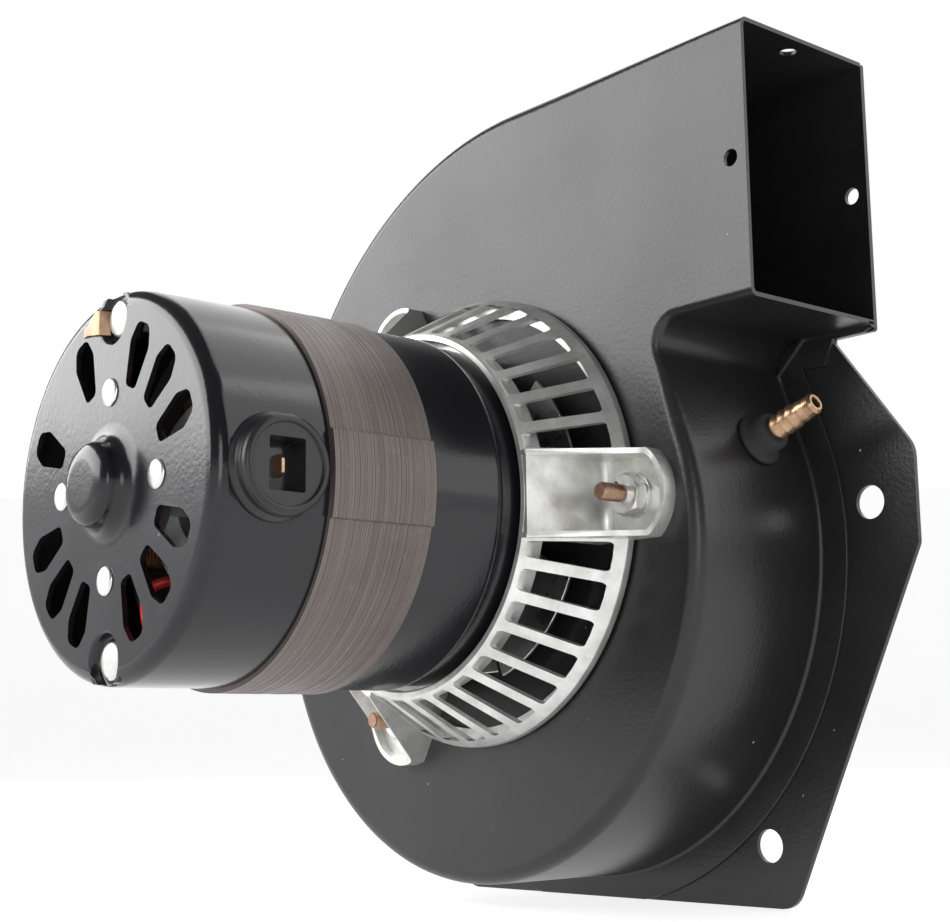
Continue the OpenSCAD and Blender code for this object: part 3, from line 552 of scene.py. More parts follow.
def scrollStations():
    # places along the outline: point, outward direction, and how round the front edge is there
    full, tight = scrollSize["roundedEdge"], scrollSize["ductEdge"]
    places = []
    for i in range(25):
        s = i / 24
        x = mouthX + (highArc.x - mouthX) * s
        places.append((Vector((x, ductTop)), Vector((0, 1)), tight + (full - tight) * s * s * (3 - 2 * s)))
    for centre, r, a0, a1, n in ((highArc, highR, 90, meetAngle, 84), (lowArc, lowR, meetAngle, 360, 84),
                                 (sideArc, sideR, 0, cutAngle, 12)):
        places += [(centre + ray(a0 + (a1 - a0) * i / n, r), ray(a0 + (a1 - a0) * i / n), full)
                   for i in range(1, n + 1)]
    out = ray(cutAngle)
    start, end = sideArc + out * sideR, cutCentre - out * cutR
    for i in range(1, 9):
        s = i / 8
        places.append((start.lerp(end, s), out, full + (tight - full) * s * s * (3 - 2 * s)))
    for i in range(1, 17):
        a = 180 + cutAngle - (90 + cutAngle) * i / 16
        places.append((cutCentre + ray(a, cutR), -ray(a), tight))
    for i in range(1, 9):
        places.append((Vector((cutCentre.x + (mouthX - cutCentre.x) * i / 8, ductLow)), Vector((0, -1)), tight))
    return places


def reachIn(point, direction, loop, most):
    # how far one can go from a point before leaving a closed outline
    best = most
    for i in range(len(loop)):
        a, b = Vector(loop[i - 1]), Vector(loop[i])
        edge = b - a
        cross = direction.x * edge.y - direction.y * edge.x
        if abs(cross) < 1e-9:
            continue
        gap = a - point
        t = (gap.x * edge.y - gap.y * edge.x) / cross
        s = (gap.x * direction.y - gap.y * direction.x) / cross
        if t > 0 and -1e-6 <= s <= 1 + 1e-6:
            best = min(best, t)
    return best


def makeShell(places):
    # wall and front face as one sheet
    size, top, base, n = scrollSize, scrollSize["depth"], plateSize["thick"], 7
    bm = bmesh.new()
    rows = []
    for point, out, edge in places:
        line = [(0, base), (0, base + 8), (0, base + 20), (0, top - edge - 4)]
        line += [(-edge + edge * cos(pi / 2 * k / n), top - edge + edge * sin(pi / 2 * k / n)) for k in range(n + 1)]
        rows.append([bm.verts.new((*(point + out * o), z)) for o, z in line])
    for a, b in zip(rows, rows[1:]):
        for k in range(len(a) - 1):
            bm.faces.new((a[k], b[k], b[k + 1], a[k + 1]))
    rim = [row[-1] for row in rows]
    edges = [bm.edges.get((rim[i - 1], rim[i])) or bm.edges.new((rim[i - 1], rim[i])) for i in range(len(rim))]
    holes = [circleOf(0, 0, size["shaftHole"], 40), circleOf(*faceHole, size["ductHole"], 32)]
    holes += [circleOf(*ray(a, studCircle), size["studHole"], 20) for a in (0, 120, 240)]
    for loop in holes:
        ring = [bm.verts.new((x, y, top)) for x, y in loop]
        edges += [bm.edges.new((ring[i - 1], ring[i])) for i in range(len(ring))]
    bmesh.ops.triangle_fill(bm, use_beauty=True, edges=edges)
    bmesh.ops.recalc_face_normals(bm, faces=bm.faces)
    shell = fromDraft("scroll", bm)
    front = [face for face in shell.data.polygons if face.area > 4 and abs(face.normal.z) > 0.99]
    if front[0].normal.z < 0:
        shell.data.flip_normals()
    sheet(shell, size["sheet"])
    drill = bar("drill", size["ductHole"], -3, 3, 32)
    moved(drill, shift(mouthX - size["topHoleIn"], ductTop, top * size["topHoleAt"]) @ spin(90, "X"))
    return carve(shell, drill)


def makeFlange(places):
    # seam flange, trimmed at the plate's edge, with a small fillet at the wall's root
    outline, fillet, base = roundedLoop(plateSize["outline"]), scrollSize["rootFillet"], plateSize["thick"]
    top, cutStart = base + scrollSize["sheet"], cutCentre - ray(cutAngle, cutR)
    strip = []
    for point, out, _ in places:
        onTop = point.x > topFlangeEnd and out.y > 0.99
        inCut = (point - cutCentre).length < cutR + 0.05 and (point - cutStart).length > 0.1
        if onTop or inCut:
            continue
        width = reachIn(point, out, outline, scrollSize["flange"])
        line = [(-0.5, base), (width, base), (width, top - 0.25), (width - 0.25, top), (fillet, top)]
        line += [(fillet - fillet * sin(pi / 2 * k / 4), top + fillet - fillet * cos(pi / 2 * k / 4))
                 for k in range(1, 5)]
        strip.append([(*(point + out * o), z) for o, z in line + [(-0.5, top + fillet)]])
    count = len(strip[0])
    verts = [v for row in strip for v in row]
    faces = [(i * count + k, (i + 1) * count + k, (i + 1) * count + (k + 1) % count, i * count + (k + 1) % count)
             for i in range(len(strip) - 1) for k in range(count)]
    faces += [tuple(range(count)), tuple(range(len(verts) - 1, len(verts) - 1 - count, -1))]
    return outward(draft("flange", verts, faces))


def makeScroll():
    places = scrollStations()
    whole = joined("scrollHousing", [makeShell(places), makeFlange(places)])
    place(shade(whole, 32), "housing", "black_paint", "scroll_housing", even=50)


def makePlate():
    size = plateSize
    loops = [roundedLoop(size["outline"]), circleOf(0, 0, size["inletHole"], 128)]
    loops += [circleOf(x, y, size["mountHole"], 40) for x, y in size["holes"]]
    loops += [circleOf(*faceHole, scrollSize["ductHole"], 32)]
    plate = soften(slab("mountingPlate", loops, 0, size["thick"]), size["edge"], 2, 50)
    place(shade(plate, 40), "housing", "black_paint", "mounting_plate")


makeScroll()
makePlate()
print("scroll and plate made")


# ---------- pressure tap

tapSize = {"ridge": 3.0, "root": 2.3, "bore": 1.3, "tip": 18.6, "firstRidge": 6.6, "ridgePitch": 2.4, "ridges": 5,
           "z": 18.69,
           "cup": [(2.43, -3.5), (5.2, -3.5), (5.4, -3.3), (5.4, -1.4), (3.95, -1.4), (3.95, 0.1), (6.0, 0.1),
                   (6.25, 0.35), (6.2, 0.95), (5.7, 1.45), (4.9, 1.75), (4.6, 2.3), (4.5, 5.2), (4.2, 5.75),
                   (3.6, 5.95), (2.43, 5.9)]}
tapPlace = (shift(*(sideArc + ray(cutAngle, sideR))) @ spin(cutAngle) @ shift(z=tapSize["z"]) @ spin(90, "Y"))


def makeTap():
    ridge, root, bore, tip = pick(tapSize, "ridge root bore tip")
    line = [(bore, -4), (2.4, -4), (2.4, 6.2)]
    for i in range(tapSize["ridges"]):
        z = tapSize["firstRidge"] + tapSize["ridgePitch"] * i
        shrink = 0.12 * i if i > 2 else 0
        line += [(root, z), (ridge - 0.15 - shrink, z + 0.05), (ridge - shrink, z + 0.2),
                 (ridge - 0.04 - shrink, z + 0.65), (root + 0.25, z + 1.7), (root, z + 2.2)]
    line[-1] = (root - 0.1, tip - 0.3)
    line += [(root - 0.35, tip), (bore + 0.15, tip), (bore, tip - 0.2)]
    barb = moved(lathe("hoseBarb", line, 64), tapPlace)
    place(shade(barb, 30, False), "housing", "brass", "hose_barb")
    grommet = moved(lathe("barbGrommet", tapSize["cup"], 64), tapPlace)
    place(shade(grommet, 50, False), "housing", "black_rubber", "barb_grommet")


makeTap()
print("pressure tap made")


# ---------- mounting ring and its fasteners

ringSize = {"base": 44.5, "top": 68.6, "rimInner": 42.1, "rimOuter": 44.0, "baseR": 55.4, "sheet": 1.2,
            "slat": 2.6, "slatPitch": 10.0, "firstSlat": 20.0, "slats": 9, "skirt": 2.5, "skirtGap": 0.4,
            "cupFloor": 63.2, "cupBore": 33, "edge": 0.22, "window": 8.8, "boltHole": 2.25, "boltCircle": 36.6,
            "slotCorner": 0.7}
legSize = {"width": 19.8, "inner": 17.2, "footCentre": 54.4, "footR": 12.5, "wall": 3.7, "edge": 0.4}


def edgeAngle(r, angle, offset):
    # direction, at radius r, of a line along angle and offset to its left
    return angle + degrees(asin(offset / r))


def slotCutter(a0, a1, w0, w1):
    base, top, rimOuter, baseR, skirt, rounding = pick(ringSize, "base top rimOuter baseR skirt slotCorner")
    r0, r1 = rimOuter + 0.4, baseR - 1.5
    inner = [ray(edgeAngle(r0, a0, w0), r0), ray(edgeAngle(r0, a1, -w1), r0)]
    outer = [ray(edgeAngle(r1, a1, -w1), r1), ray(edgeAngle(r1, a0, w0), r1)]
    middle = (edgeAngle(r1, a0, w0) + edgeAngle(r1, a1, -w1)) / 2
    corners = [*((*p, rounding) for p in inner), (*outer[0], rounding), (*ray(middle, r1 + 0.02), 0),
               (*outer[1], rounding)]
    return slab("slot", [roundedLoop(corners, 3)], base + skirt, top + 1)


def legPlan(half, r, start):
    # channel's plan, open towards the shaft, with a round end
    turn = degrees(asin(half / r))
    return [(start, -half)] + arcOf(legSize["footCentre"], 0, r, -turn, turn, 20) + [(start, half)]


def sidewaysSlab(name, loop, y0, y1):
    # a plate whose outline is drawn in (x, z) and whose thickness runs along y
    return outward(moved(slab(name, [loop], y0, y1), spin(90, "X") @ Matrix.Scale(-1, 4, (0, 0, 1))))


def makeLeg():
    base, top, rimInner, rimOuter, thick = pick(ringSize, "base top rimInner rimOuter sheet")
    width, inner, footCentre, footR, high = pick(legSize, "width inner footCentre footR wall")
    half = width / 2
    wall = slab("leg", [legPlan(half, footR, rimInner + 0.4)], base, top)
    carve(wall, slab("hollow", [legPlan(inner / 2, footR - thick, rimInner - 1)], base - 1, top + 1))
    footOut, end = footCentre + sqrt(footR * footR - half * half), footCentre + footR + 1
    side = roundedLoop([(rimOuter - 1.6, top - 0.02, 0), (rimOuter, top - 0.02, 0.5), (footOut, base + high, 5),
                        (end, base + high, 0), (end, base, 0), (rimOuter - 1.6, base, 0)], 6)
    carve(wall, sidewaysSlab("side", side, -20, 20), "INTERSECT")
    back = [(rimOuter - 0.9, top - 0.05), (rimOuter + 0.3, top - 0.05), (rimOuter + 2.6, base + 4.2),
            (rimOuter + 3.4, base + 2.2), (rimOuter + 5.2, base + 1.2), (rimOuter + 5.2, base),
            (rimOuter + 2.1, base)]
    carve(wall, sidewaysSlab("back", back, -(inner / 2 + 0.5), inner / 2 + 0.5), "UNION")
    foot = slab("foot", [legPlan(half - 0.3, footR - 0.3, rimOuter + 2.6)], base, base + thick)
    return soften(carve(wall, foot, "UNION"), legSize["edge"], 2, 40)


def makeRing():
    base, top, rimInner, rimOuter, baseR, thick = pick(ringSize, "base top rimInner rimOuter baseR sheet")
    skirt, gap, floor, bore, wide = pick(ringSize, "skirt skirtGap cupFloor cupBore window")
    line = [(rimInner, top - 0.3), (rimInner + 0.3, top), (rimOuter - 0.4, top), (rimOuter, top - 0.45),
            (baseR - 0.1, base + skirt + 0.3), (baseR, base + skirt - 0.2), (baseR, base + 1.0),
            (baseR - 0.2, base + 0.6), (baseR - 0.6, base + gap), (baseR - 4.5, base + gap),
            (baseR - 4.5, base + gap + thick), (baseR - thick, base + gap + thick),
            (baseR - thick, base + skirt - 0.3), (rimInner + thick, top - 0.9), (rimInner + thick, floor - thick),
            (bore, floor - thick), (bore, floor), (rimInner, floor)]
    body = lathe("mountRing", line, 240)
    half, legHalf = ringSize["slat"] / 2, legSize["width"] / 2 + 0.6
    first, pitch, slats = pick(ringSize, "firstSlat slatPitch slats")
    slot = "zinc_ring"
    middle = copies(slotCutter(first, first + pitch, half, half), slot, slats - 1, pitch)
    ends = [slotCutter(0, first, legHalf, half), slotCutter(first + pitch * (slats - 1), 120, half, legHalf)]
    carve(body, copies(joined("slots", [middle, *ends]), slot, 3, 120))
    plan = [(rimOuter + 0.2, -wide), (rimOuter + 30, -wide), (rimOuter + 30, wide), (rimOuter + 0.2, wide)]
    carve(body, copies(slab("window", [plan], base - 1, top + 3), slot, 3, 120))
    carve(body, copies(bar("hole", ringSize["boltHole"], 55, 70, 24, 0, ringSize["boltCircle"]), slot, 2, 180))
    soften(body, ringSize["edge"], 2, 40)
    whole = joined("mountingRing", [body, copies(makeLeg(), slot, 3, 120)])
    place(shade(whole, 35), "housing", slot, "mount_ring", even=50)


studSize = {"r": 2.08, "pitch": 0.794, "depth": 0.42, "length": 12.6, "tip": 0.45, "rings": 200, "headR": 4.3,
            "nutFlats": 8.73, "nutHeight": 3.2, "nutTurn": 17, "washerR": 5.2, "washerBore": 2.25,
            "washerThick": 0.8}


def rod(r, z0, z1, tip, rings):
    line = [(r, z0 + (z1 - tip - z0) * i / rings) for i in range(rings + 1)]
    return turned("rod", line + [(r - tip, z1)], 48)


def hexNut(flats, height, bore):
    # hexagon with both ends turned down at the corners, and a countersunk bore
    across = flats / 2 / cos(radians(30))
    nut = slab("nut", [circleOf(0, 0, across, 6)], 0, height)
    ends = [(flats / 2 - 0.05, 0), (across + 0.02, 0.62), (across + 0.02, height - 0.62), (flats / 2 - 0.05, height)]
    carve(nut, turned("turned", ends, 96), "INTERSECT")
    bored = [(bore + 0.5, -1), (bore + 0.5, 0), (bore, 0.45), (bore, height - 0.45), (bore + 0.5, height),
             (bore + 0.5, height + 1)]
    return soften(carve(nut, turned("bored", bored, 48)), 0.12, 2, 30)


def makeFasteners():
    size, base = studSize, ringSize["base"]
    r, headR, washerR, bore, thick = pick(size, "r headR washerR washerBore washerThick")
    stud = threaded(rod(r, base - 1, base + size["length"], size["tip"], size["rings"]), "copper_stud", r,
                    size["pitch"], size["depth"])
    head = turned("head", [(headR - 0.3, base - 2), (headR, base - 1.7), (headR, base - 1)], 48)
    studs = copies(moved(joined("ringStuds", [stud, head]), shift(studCircle)), "copper_stud", 3, 120,
                   turnSpread=0.3, seed=4)
    place(shade(studs, 40, False), "housing", "copper_stud", "ring_studs")
    z = base + ringSize["sheet"]
    washer = lathe("washer", [(bore, z), (washerR, z), (washerR, z + thick), (bore, z + thick)], 64)
    nut = hexNut(size["nutFlats"], size["nutHeight"], r - 0.1)
    for name, node, angle, piece in (
            ("ringWashers", "ring_washers", 40, moved(soften(washer, 0.15, 2), shift(studCircle))),
            ("ringNuts", "ring_nuts", 35, moved(nut, shift(studCircle, 0, z + thick) @ spin(size["nutTurn"])))):
        row = copies(piece, "zinc_fastener", 3, 120)
        row.name = name
        place(shade(row, angle), "housing", "zinc_fastener", node)


makeRing()
makeFasteners()
print("mounting ring and fasteners made")


# ---------- motor shell

motorSize = {"r": 42.0, "sheet": 1.2, "shoulder": 3.5, "cupFloor": 63.2, "stackLow": 93.8, "stackTop": 120.2,
             "face": 147.4, "hubR": 9.2, "hubHeight": 6.5, "bearingR": 8.0, "boltCircle": 36.6, "rivetCircle": 20.1,
             "pocketR": 5.6, "pocketDepth": 2.9, "ventStep": 22.5, "pilotR": 40.8, "boltHole": 2.2,
             "frontVentR": 21.5, "rearVentR": 15.5, "rearEdge": 1.5, "rearStep": 8.4, "lowEnd": 5.2}
frontVents, rearVents = (1, 2, 3, 5, 7, 9, 10, 11, 13, 14, 15), (1, 2, 3, 5, 6, 7, 9, 10, 11, 13, 14, 15)
ventPlan = [(0, -2.1, 1.5), (9.4, -4.1, 3.0), (14.0, -2.5, 2.2), (14.0, 2.5, 2.2), (9.4, 4.1, 3.0), (0, 2.1, 1.5)]


def ventCutters(steps, s, z0, z1):
    line = roundedLoop([(s + x, y, r) for x, y, r in ventPlan])
    return joined("vents", [moved(slab("vent", [line], z0, z1), spin(motorSize["ventStep"] * v)) for v in steps])


def makeFrontBell():
    m, slot = motorSize, "motor_black"
    r, e, o, t, hub, high, bolts = pick(m, "r shoulder face sheet hubR hubHeight boltCircle")
    pocketR, deep, bearing = pick(m, "pocketR pocketDepth bearingR")
    line = [(r, m["stackTop"]), (r, m["stackTop"] + 9), (r, m["stackTop"] + 18)]
    line += arcOf(r - e, o - e, e, 0, 90, 10)
    line += [(hub + 4.4, o), (hub + 2.6, o + 0.25), (hub + 1.2, o + 0.95), (hub + 0.35, o + 2.0), (hub, o + 3.0),
             (hub - 0.1, o + high - 2.7)]
    line += ellipse(hub - 4.4, o + high - 2.5, 4.2, 2.5, range(10, 91, 10))
    line += [(hub - 6.5, o + high), (0, o + high - 0.1), (0, o + high - t - 0.3), (bearing, o + high - t - 0.3),
             (bearing, o + 1), (hub + 1.6, o - t)]
    bell = lathe("frontBell", line + arcOf(r - e, o - e, e - t, 90, 0, 8) + [(r - t, m["stackTop"])], 192)
    boss = bar("boss", pocketR + t, o - deep - t, o - 0.5, 64, 0, bolts)
    carve(boss, bar("limit", r - 0.5, 100, 160, 128), "INTERSECT")
    carve(bell, copies(boss, slot, 2, 180), "UNION")
    sunk = [(pocketR - 0.9, o - deep), (pocketR, o - deep + 0.9), (pocketR, o - 0.7), (pocketR + 0.7, o + 0.02),
            (pocketR + 0.7, o + 2)]
    carve(bell, copies(moved(turned("sunk", sunk, 64), shift(0, bolts)), slot, 2, 180))
    carve(bell, copies(bar("bar", m["boltHole"], 100, 150, 32, 0, bolts), slot, 2, 180))
    carve(bell, ventCutters(frontVents, m["frontVentR"], o - 3, o + 1))
    soften(mergeFlats(bell), 0.25, 2, 50)
    place(shade(bell, 40), "housing", slot, "front_bell", even=50)


def makeRearBell():
    m, slot = motorSize, "motor_black"
    r, e, t, z, hub, pilot, b = pick(m, "r shoulder sheet cupFloor hubR pilotR rearEdge")
    bearing, low, end = pick(m, "bearingR stackLow lowEnd")
    s = z + m["rearStep"]
    turn = degrees(acos((pilot - r + e) / e))
    line = [(r, low), (r, low - 9)] + arcOf(r - e, s + e, e, 0, -turn, 8)
    line += arcOf(pilot - b, z + b, b, 0, -90, 5) + [(hub + 3.3, z), (hub + 1, z - 0.8), (hub, z - 2.2)]
    line += arcOf(hub - 1.7, z - 4.8, 1.7, 0, -90, 6)
    line += [(end, z - 6.5), (end, z - 6.5 + t), (bearing, z - 6.5 + t), (bearing, z - 1), (hub + 1.6, z + t),
             (pilot - b, z + t), (pilot - t, z + b), (pilot - t, s + 1.6), (r - t, s + e), (r - t, low)]
    bell = lathe("rearBell", line, 192)
    carve(bell, ventCutters(rearVents, m["rearVentR"], z - 1, z + 3))
    carve(bell, copies(bar("bar", m["boltHole"], z - 2, z + b, 32, 0, m["boltCircle"]), slot, 2, 180))
    place(shade(bell, 40), "housing", slot, "rear_bell", even=50)


stackSize = {"plates": 42, "gap": 0.05, "r": 43.0, "padR": 43.8, "padHalf": 12.0, "bore": 23.35, "shoe": 2.7,
             "yoke": 36.0, "pole": 15.0, "slotGap": 2.6, "boltHole": 2.3, "spread": 0.0011, "turnSpread": 0.07,
             "seed": 11}


def makeStack():
    bolts, low, high = pick(motorSize, "boltCircle stackLow stackTop")
    plates, gap, r, padR, half, bore = pick(stackSize, "plates gap r padR padHalf bore")
    yoke, pole, slotGap, hole = pick(stackSize, "yoke pole slotGap boltHole")
    shoe = bore + stackSize["shoe"]
    outer = arcOf(0, 0, r, half + 0.6, 360 - half - 0.6, 140) + arcOf(0, 0, padR, -half, half, 20)
    g0, g1 = degrees(asin(slotGap / 2 / bore)), degrees(asin(slotGap / 2 / shoe))
    p1, p2 = degrees(asin(pole / 2 / shoe)), degrees(asin(pole / 2 / yoke))
    inner = []
    for a in (0, 90, 180, 270):
        inner += arcOf(0, 0, bore, a - 45 + g0, a + 45 - g0, 16)
        inner += arcOf(0, 0, shoe, a + 45 - g1, a + p1, 6)
        inner += arcOf(0, 0, yoke, a + p2, a + 90 - p2, 12)
        inner += arcOf(0, 0, shoe, a + 90 - p1, a + 45 + g1, 6)
    pitch = (high - low) / plates
    loops = [outer, inner, circleOf(0, bolts, hole, 16), circleOf(0, -bolts, hole, 16)]
    stack = copies(slab("lamination", loops, low + gap / 2, low + pitch - gap / 2), "lamination", plates, 0, pitch,
                   *pick(stackSize, "spread turnSpread seed"))
    stack.name = "laminationStack"
    place(shade(stack, 30, False), "housing", "lamination", "stator_core")


boltSize = {"r": 2.05, "headR": 4.1, "headHeight": 2.2, "headEdge": 0.9, "domeHeight": 1.3, "behind": 5.4}
rivetSize = {"r": 1.6, "headR": 3.1, "headHeight": 1.05, "headEdge": 0.15}
domeAngles = (15, 30, 45, 60, 75)


def makeMotorFasteners():
    m, slot = motorSize, "zinc_fastener"
    r, headR, high, edge, dome, behind = pick(boltSize, "r headR headHeight headEdge domeHeight behind")
    seat, back = m["face"] - m["pocketDepth"], m["cupFloor"] - behind
    line = [(0, back), (r - 0.3, back), (r, back + 0.3), (r, seat), (headR - 0.15, seat), (headR, seat + 0.2),
            (headR, seat + edge), *ellipse(0, seat + edge, headR, dome, domeAngles), (0, seat + high)]
    bolts = copies(moved(lathe("bolt", line, 64, closed=False), shift(0, m["boltCircle"])), slot, 2, 180)
    bolts.name = "throughBolts"
    place(shade(bolts, 40), "housing", slot, "through_bolts")
    r, headR, high, edge = pick(rivetSize, "r headR headHeight headEdge")
    line = [(0, -2.8), (2.2, -2.8), (2.5, -2.4), (r, -2.0), (r, 0), (headR - 0.1, 0), (headR, edge),
            *ellipse(0, edge, headR, high - edge, domeAngles), (0, high)]
    for name, node, base, way in (("frontRivets", "retainer_rivets", m["face"], 1),
                                  ("rearRivets", "rear_rivets", m["cupFloor"], -1)):
        rivet = moved(lathe("rivet", line, 40, closed=False),
                      shift(m["rivetCircle"], 0, base) @ Matrix.Scale(way, 4, (0, 0, 1)))
        rivets = copies(outward(rivet), slot, 4, 90, turnSpread=0.2, seed=6)
        rivets.name = name
        place(shade(rivets, 50, False), "housing", slot, node)


receptacleSize = {"r": 10.2, "neck": 8.7, "face": 46.6, "z": 133.3, "tall": 8.5, "wide": 10.8, "rim": 0.6}


def makeReceptacle():
    r, neck, face, rim = pick(receptacleSize, "r neck face rim")
    line = [(neck, 36), (neck, 40.2), (r + 0.9, 40.2), (r + 0.95, 41.6), (r + 0.8, 42.2), (r + 0.15, 42.9),
            (r, 43.3), (r - 0.02, 44.7), (r - 0.25, 44.8), (r - 0.25, 45.0), (r - 0.02, 45.1), (r - 0.1, 45.9),
            (r - 0.4, 46.35), (r - 0.9, face), (r - 1.5, face), (r - 1.75, face - 0.2), (r - 1.85, face - rim)]
    facing = shift(z=receptacleSize["z"]) @ spin(90, "Y")
    boss = moved(turned("powerReceptacle", line, 128), facing)
    tall, wide = receptacleSize["tall"] / 2, receptacleSize["wide"] / 2
    corners = [(-tall, -wide, 0.5), (tall, -wide, 0.5), (tall, wide, 0.5), (-tall, wide, 0.5)]
    carve(boss, moved(slab("hole", [roundedLoop(corners)], 35, 50), facing))
    soften(boss, 0.15, 2, 50)
    place(shade(boss, 40), "housing", "black_plastic", "power_receptacle", even=50)


makeFrontBell()
makeRearBell()
makeStack()
makeMotorFasteners()
makeReceptacle()
print("motor shell made")


# ---------- leads, contacts and earth clip

leadSize = {"r": 1.1, "steps": 16, "smooth": 8}
leadRoutes = [[(35, 3, 133.3), (32, 6.5, 136), (31.3, 12.6, 141), (27, 18, 142), (19, 24, 137), (13, 28, 131),
               (9, 30, 127.5)],
              [(35, -3, 133.3), (31, -8, 137), (25, -18, 141), (18, -27, 143), (12.4, -31, 143.2),
               (9.8, -27.5, 143.4), (10.5, -22.5, 143), (13, -21, 138), (11, -27, 131), (9, -30, 127.5)]]


def sweep(name, route, r, steps, smooth):
    # round tube along a smooth line through the route's points
    points = [Vector(p) for p in route]
    path = []
    for i in range(len(points) - 1):
        a, b = points[max(i - 1, 0)], points[i]
        c, d = points[i + 1], points[min(i + 2, len(points) - 1)]
        for k in range(smooth):
            t = k / smooth
            path.append(0.5 * ((2 * b) + (c - a) * t + (2 * a - 5 * b + 4 * c - d) * t * t
                               + (3 * b - a - 3 * c + d) * t ** 3))
    path.append(points[-1])
    side = (path[1] - path[0]).normalized().orthogonal().normalized()
    verts, faces = [], []
    for i, p in enumerate(path):
        ahead = (path[min(i + 1, len(path) - 1)] - path[max(i - 1, 0)]).normalized()
        side = (side - ahead * side.dot(ahead)).normalized()
        other = ahead.cross(side)
        verts += [p + side * r * cos(2 * pi * k / steps) + other * r * sin(2 * pi * k / steps) for k in range(steps)]
    for i in range(len(path) - 1):
        faces += [(i * steps + k, i * steps + (k + 1) % steps, (i + 1) * steps + (k + 1) % steps, (i + 1) * steps + k)
                  for k in range(steps)]
    faces += [tuple(range(steps)), tuple(range(len(verts) - steps, len(verts)))]
    return outward(draft(name, verts, faces))


def makeLeads():
    tubes = [sweep("lead", route, *pick(leadSize, "r steps smooth")) for route in leadRoutes]
    place(shade(joined("redLeads", tubes), 50, False), "housing", "red_wire", "lead_wires")


contactSize = {"thick": 0.8, "tall": 4.6, "z": 133.3, "base": 35.0, "reach": (9.4, 5.0), "shift": (0, -2.6)}


def makeContacts():
    thick, tall, height, base = pick(contactSize, "thick tall z base")
    half, blades = tall / 2, []
    for reach, aside in zip(contactSize["reach"], contactSize["shift"]):
        end, z = base + reach, height + aside - thick / 2
        loop = [(base, -half), (end - 1.2, -half), (end, -half + 0.9), (end, half - 0.9), (end - 1.2, half),
                (base, half)]
        blades.append(soften(slab("blade", [loop], z, z + thick), 0.15, 2, 40))
    place(shade(joined("contactBlades", blades), 40), "housing", "brass", "contact_blades")


clipSize = {"thick": 0.7, "low": -3.0, "high": 2.4, "tongue": -9, "tongueLow": -2.5, "tongueHigh": -0.2,
            "line": [(-4.5, -2.2), (-4.9, -1.0), (-5.4, 0.1), (-6.4, 0.45), (-9.5, 0.4), (-12.2, -0.1)]}


def makeClip():
    # folded brass tab that holds the earth lead under the upper bolt
    line, low, high, tongue = pick(clipSize, "line low high tongue")
    verts = []
    for x, z in line:
        ends = pick(clipSize, "tongueLow tongueHigh") if x < tongue else (low, high)
        verts += [(x, motorSize["boltCircle"] + y, motorSize["face"] + z) for y in ends]
    faces = [(2 * i, 2 * i + 1, 2 * i + 3, 2 * i + 2) for i in range(len(line) - 1)]
    clip = outward(sheet(draft("earthClip", verts, faces), clipSize["thick"], 0))
    place(shade(soften(clip, 0.15, 2, 50), 40), "housing", "brass", "ground_clip")


makeLeads()
makeContacts()
makeClip()
print("leads and contacts made")


# ---------- wheel and cooling fan

wheelSize = {"r": 63.5, "depth": 11.0, "low": 6.2, "top": 39.2, "blades": 36, "sheet": 0.7, "bore": 9.3}
fanSize = {"r": 41.0, "z": 48.5, "sheet": 0.8, "blades": 5, "hole": 6.5, "lift": 38.0, "armR": 18.5, "discR": 20,
           "across": 9.2, "stations": (19, 24, 30, 36)}


def makeWheel():
    r, depth, low, top, count, thick, bore = pick(wheelSize, "r depth low top blades sheet bore")
    line = []
    for i in range(9):
        s = i / 8
        line.append(ray(9 * s * s - 3 * s, r - 0.5 - (depth - 0.8) * (1 - s)))
    verts = [(*p, z) for p in line for z in (low + 0.9, (low + top) / 2, top - 0.9)]
    faces = [(3 * i + k, 3 * i + 3 + k, 3 * i + 4 + k, 3 * i + 1 + k) for i in range(8) for k in (0, 1)]
    blade = outward(sheet(draft("blade", verts, faces), thick, 0))
    blades = copies(blade, "wheel_steel", count, 360 / count, turnSpread=0.12, seed=3, weld=0.0001)
    blades.name = "wheelBlades"
    rim = [(r - depth, low), (r - 0.5, low), (r, low + 0.4), (r, low + 2.4), (r - 0.7, low + 2.4),
           (r - 0.7, low + 1.1), (r - depth, low + 1.1)]
    dish = [(bore, top - 1), (22, top - 1), (24, top - 1.5), (r - 12, top - 1.5), (r - 10, top - 1.0),
            (r - 0.7, top - 1.0), (r - 0.7, top - 3), (r, top - 3), (r, top - 0.4), (r - 0.4, top), (r - 10.2, top),
            (r - 12.2, top - 0.6), (24, top - 0.6), (22, top - 0.1), (bore, top - 0.1)]
    for piece, angle, node in ((blades, 35, "wheel_blades"),
                               (soften(lathe("wheelRim", rim, 144), 0.15, 2), 35, "wheel_rim"),
                               (lathe("wheelBackPlate", dish, 144), 30, "wheel_backplate")):
        place(shade(piece, angle), "rotor", "wheel_steel", node)


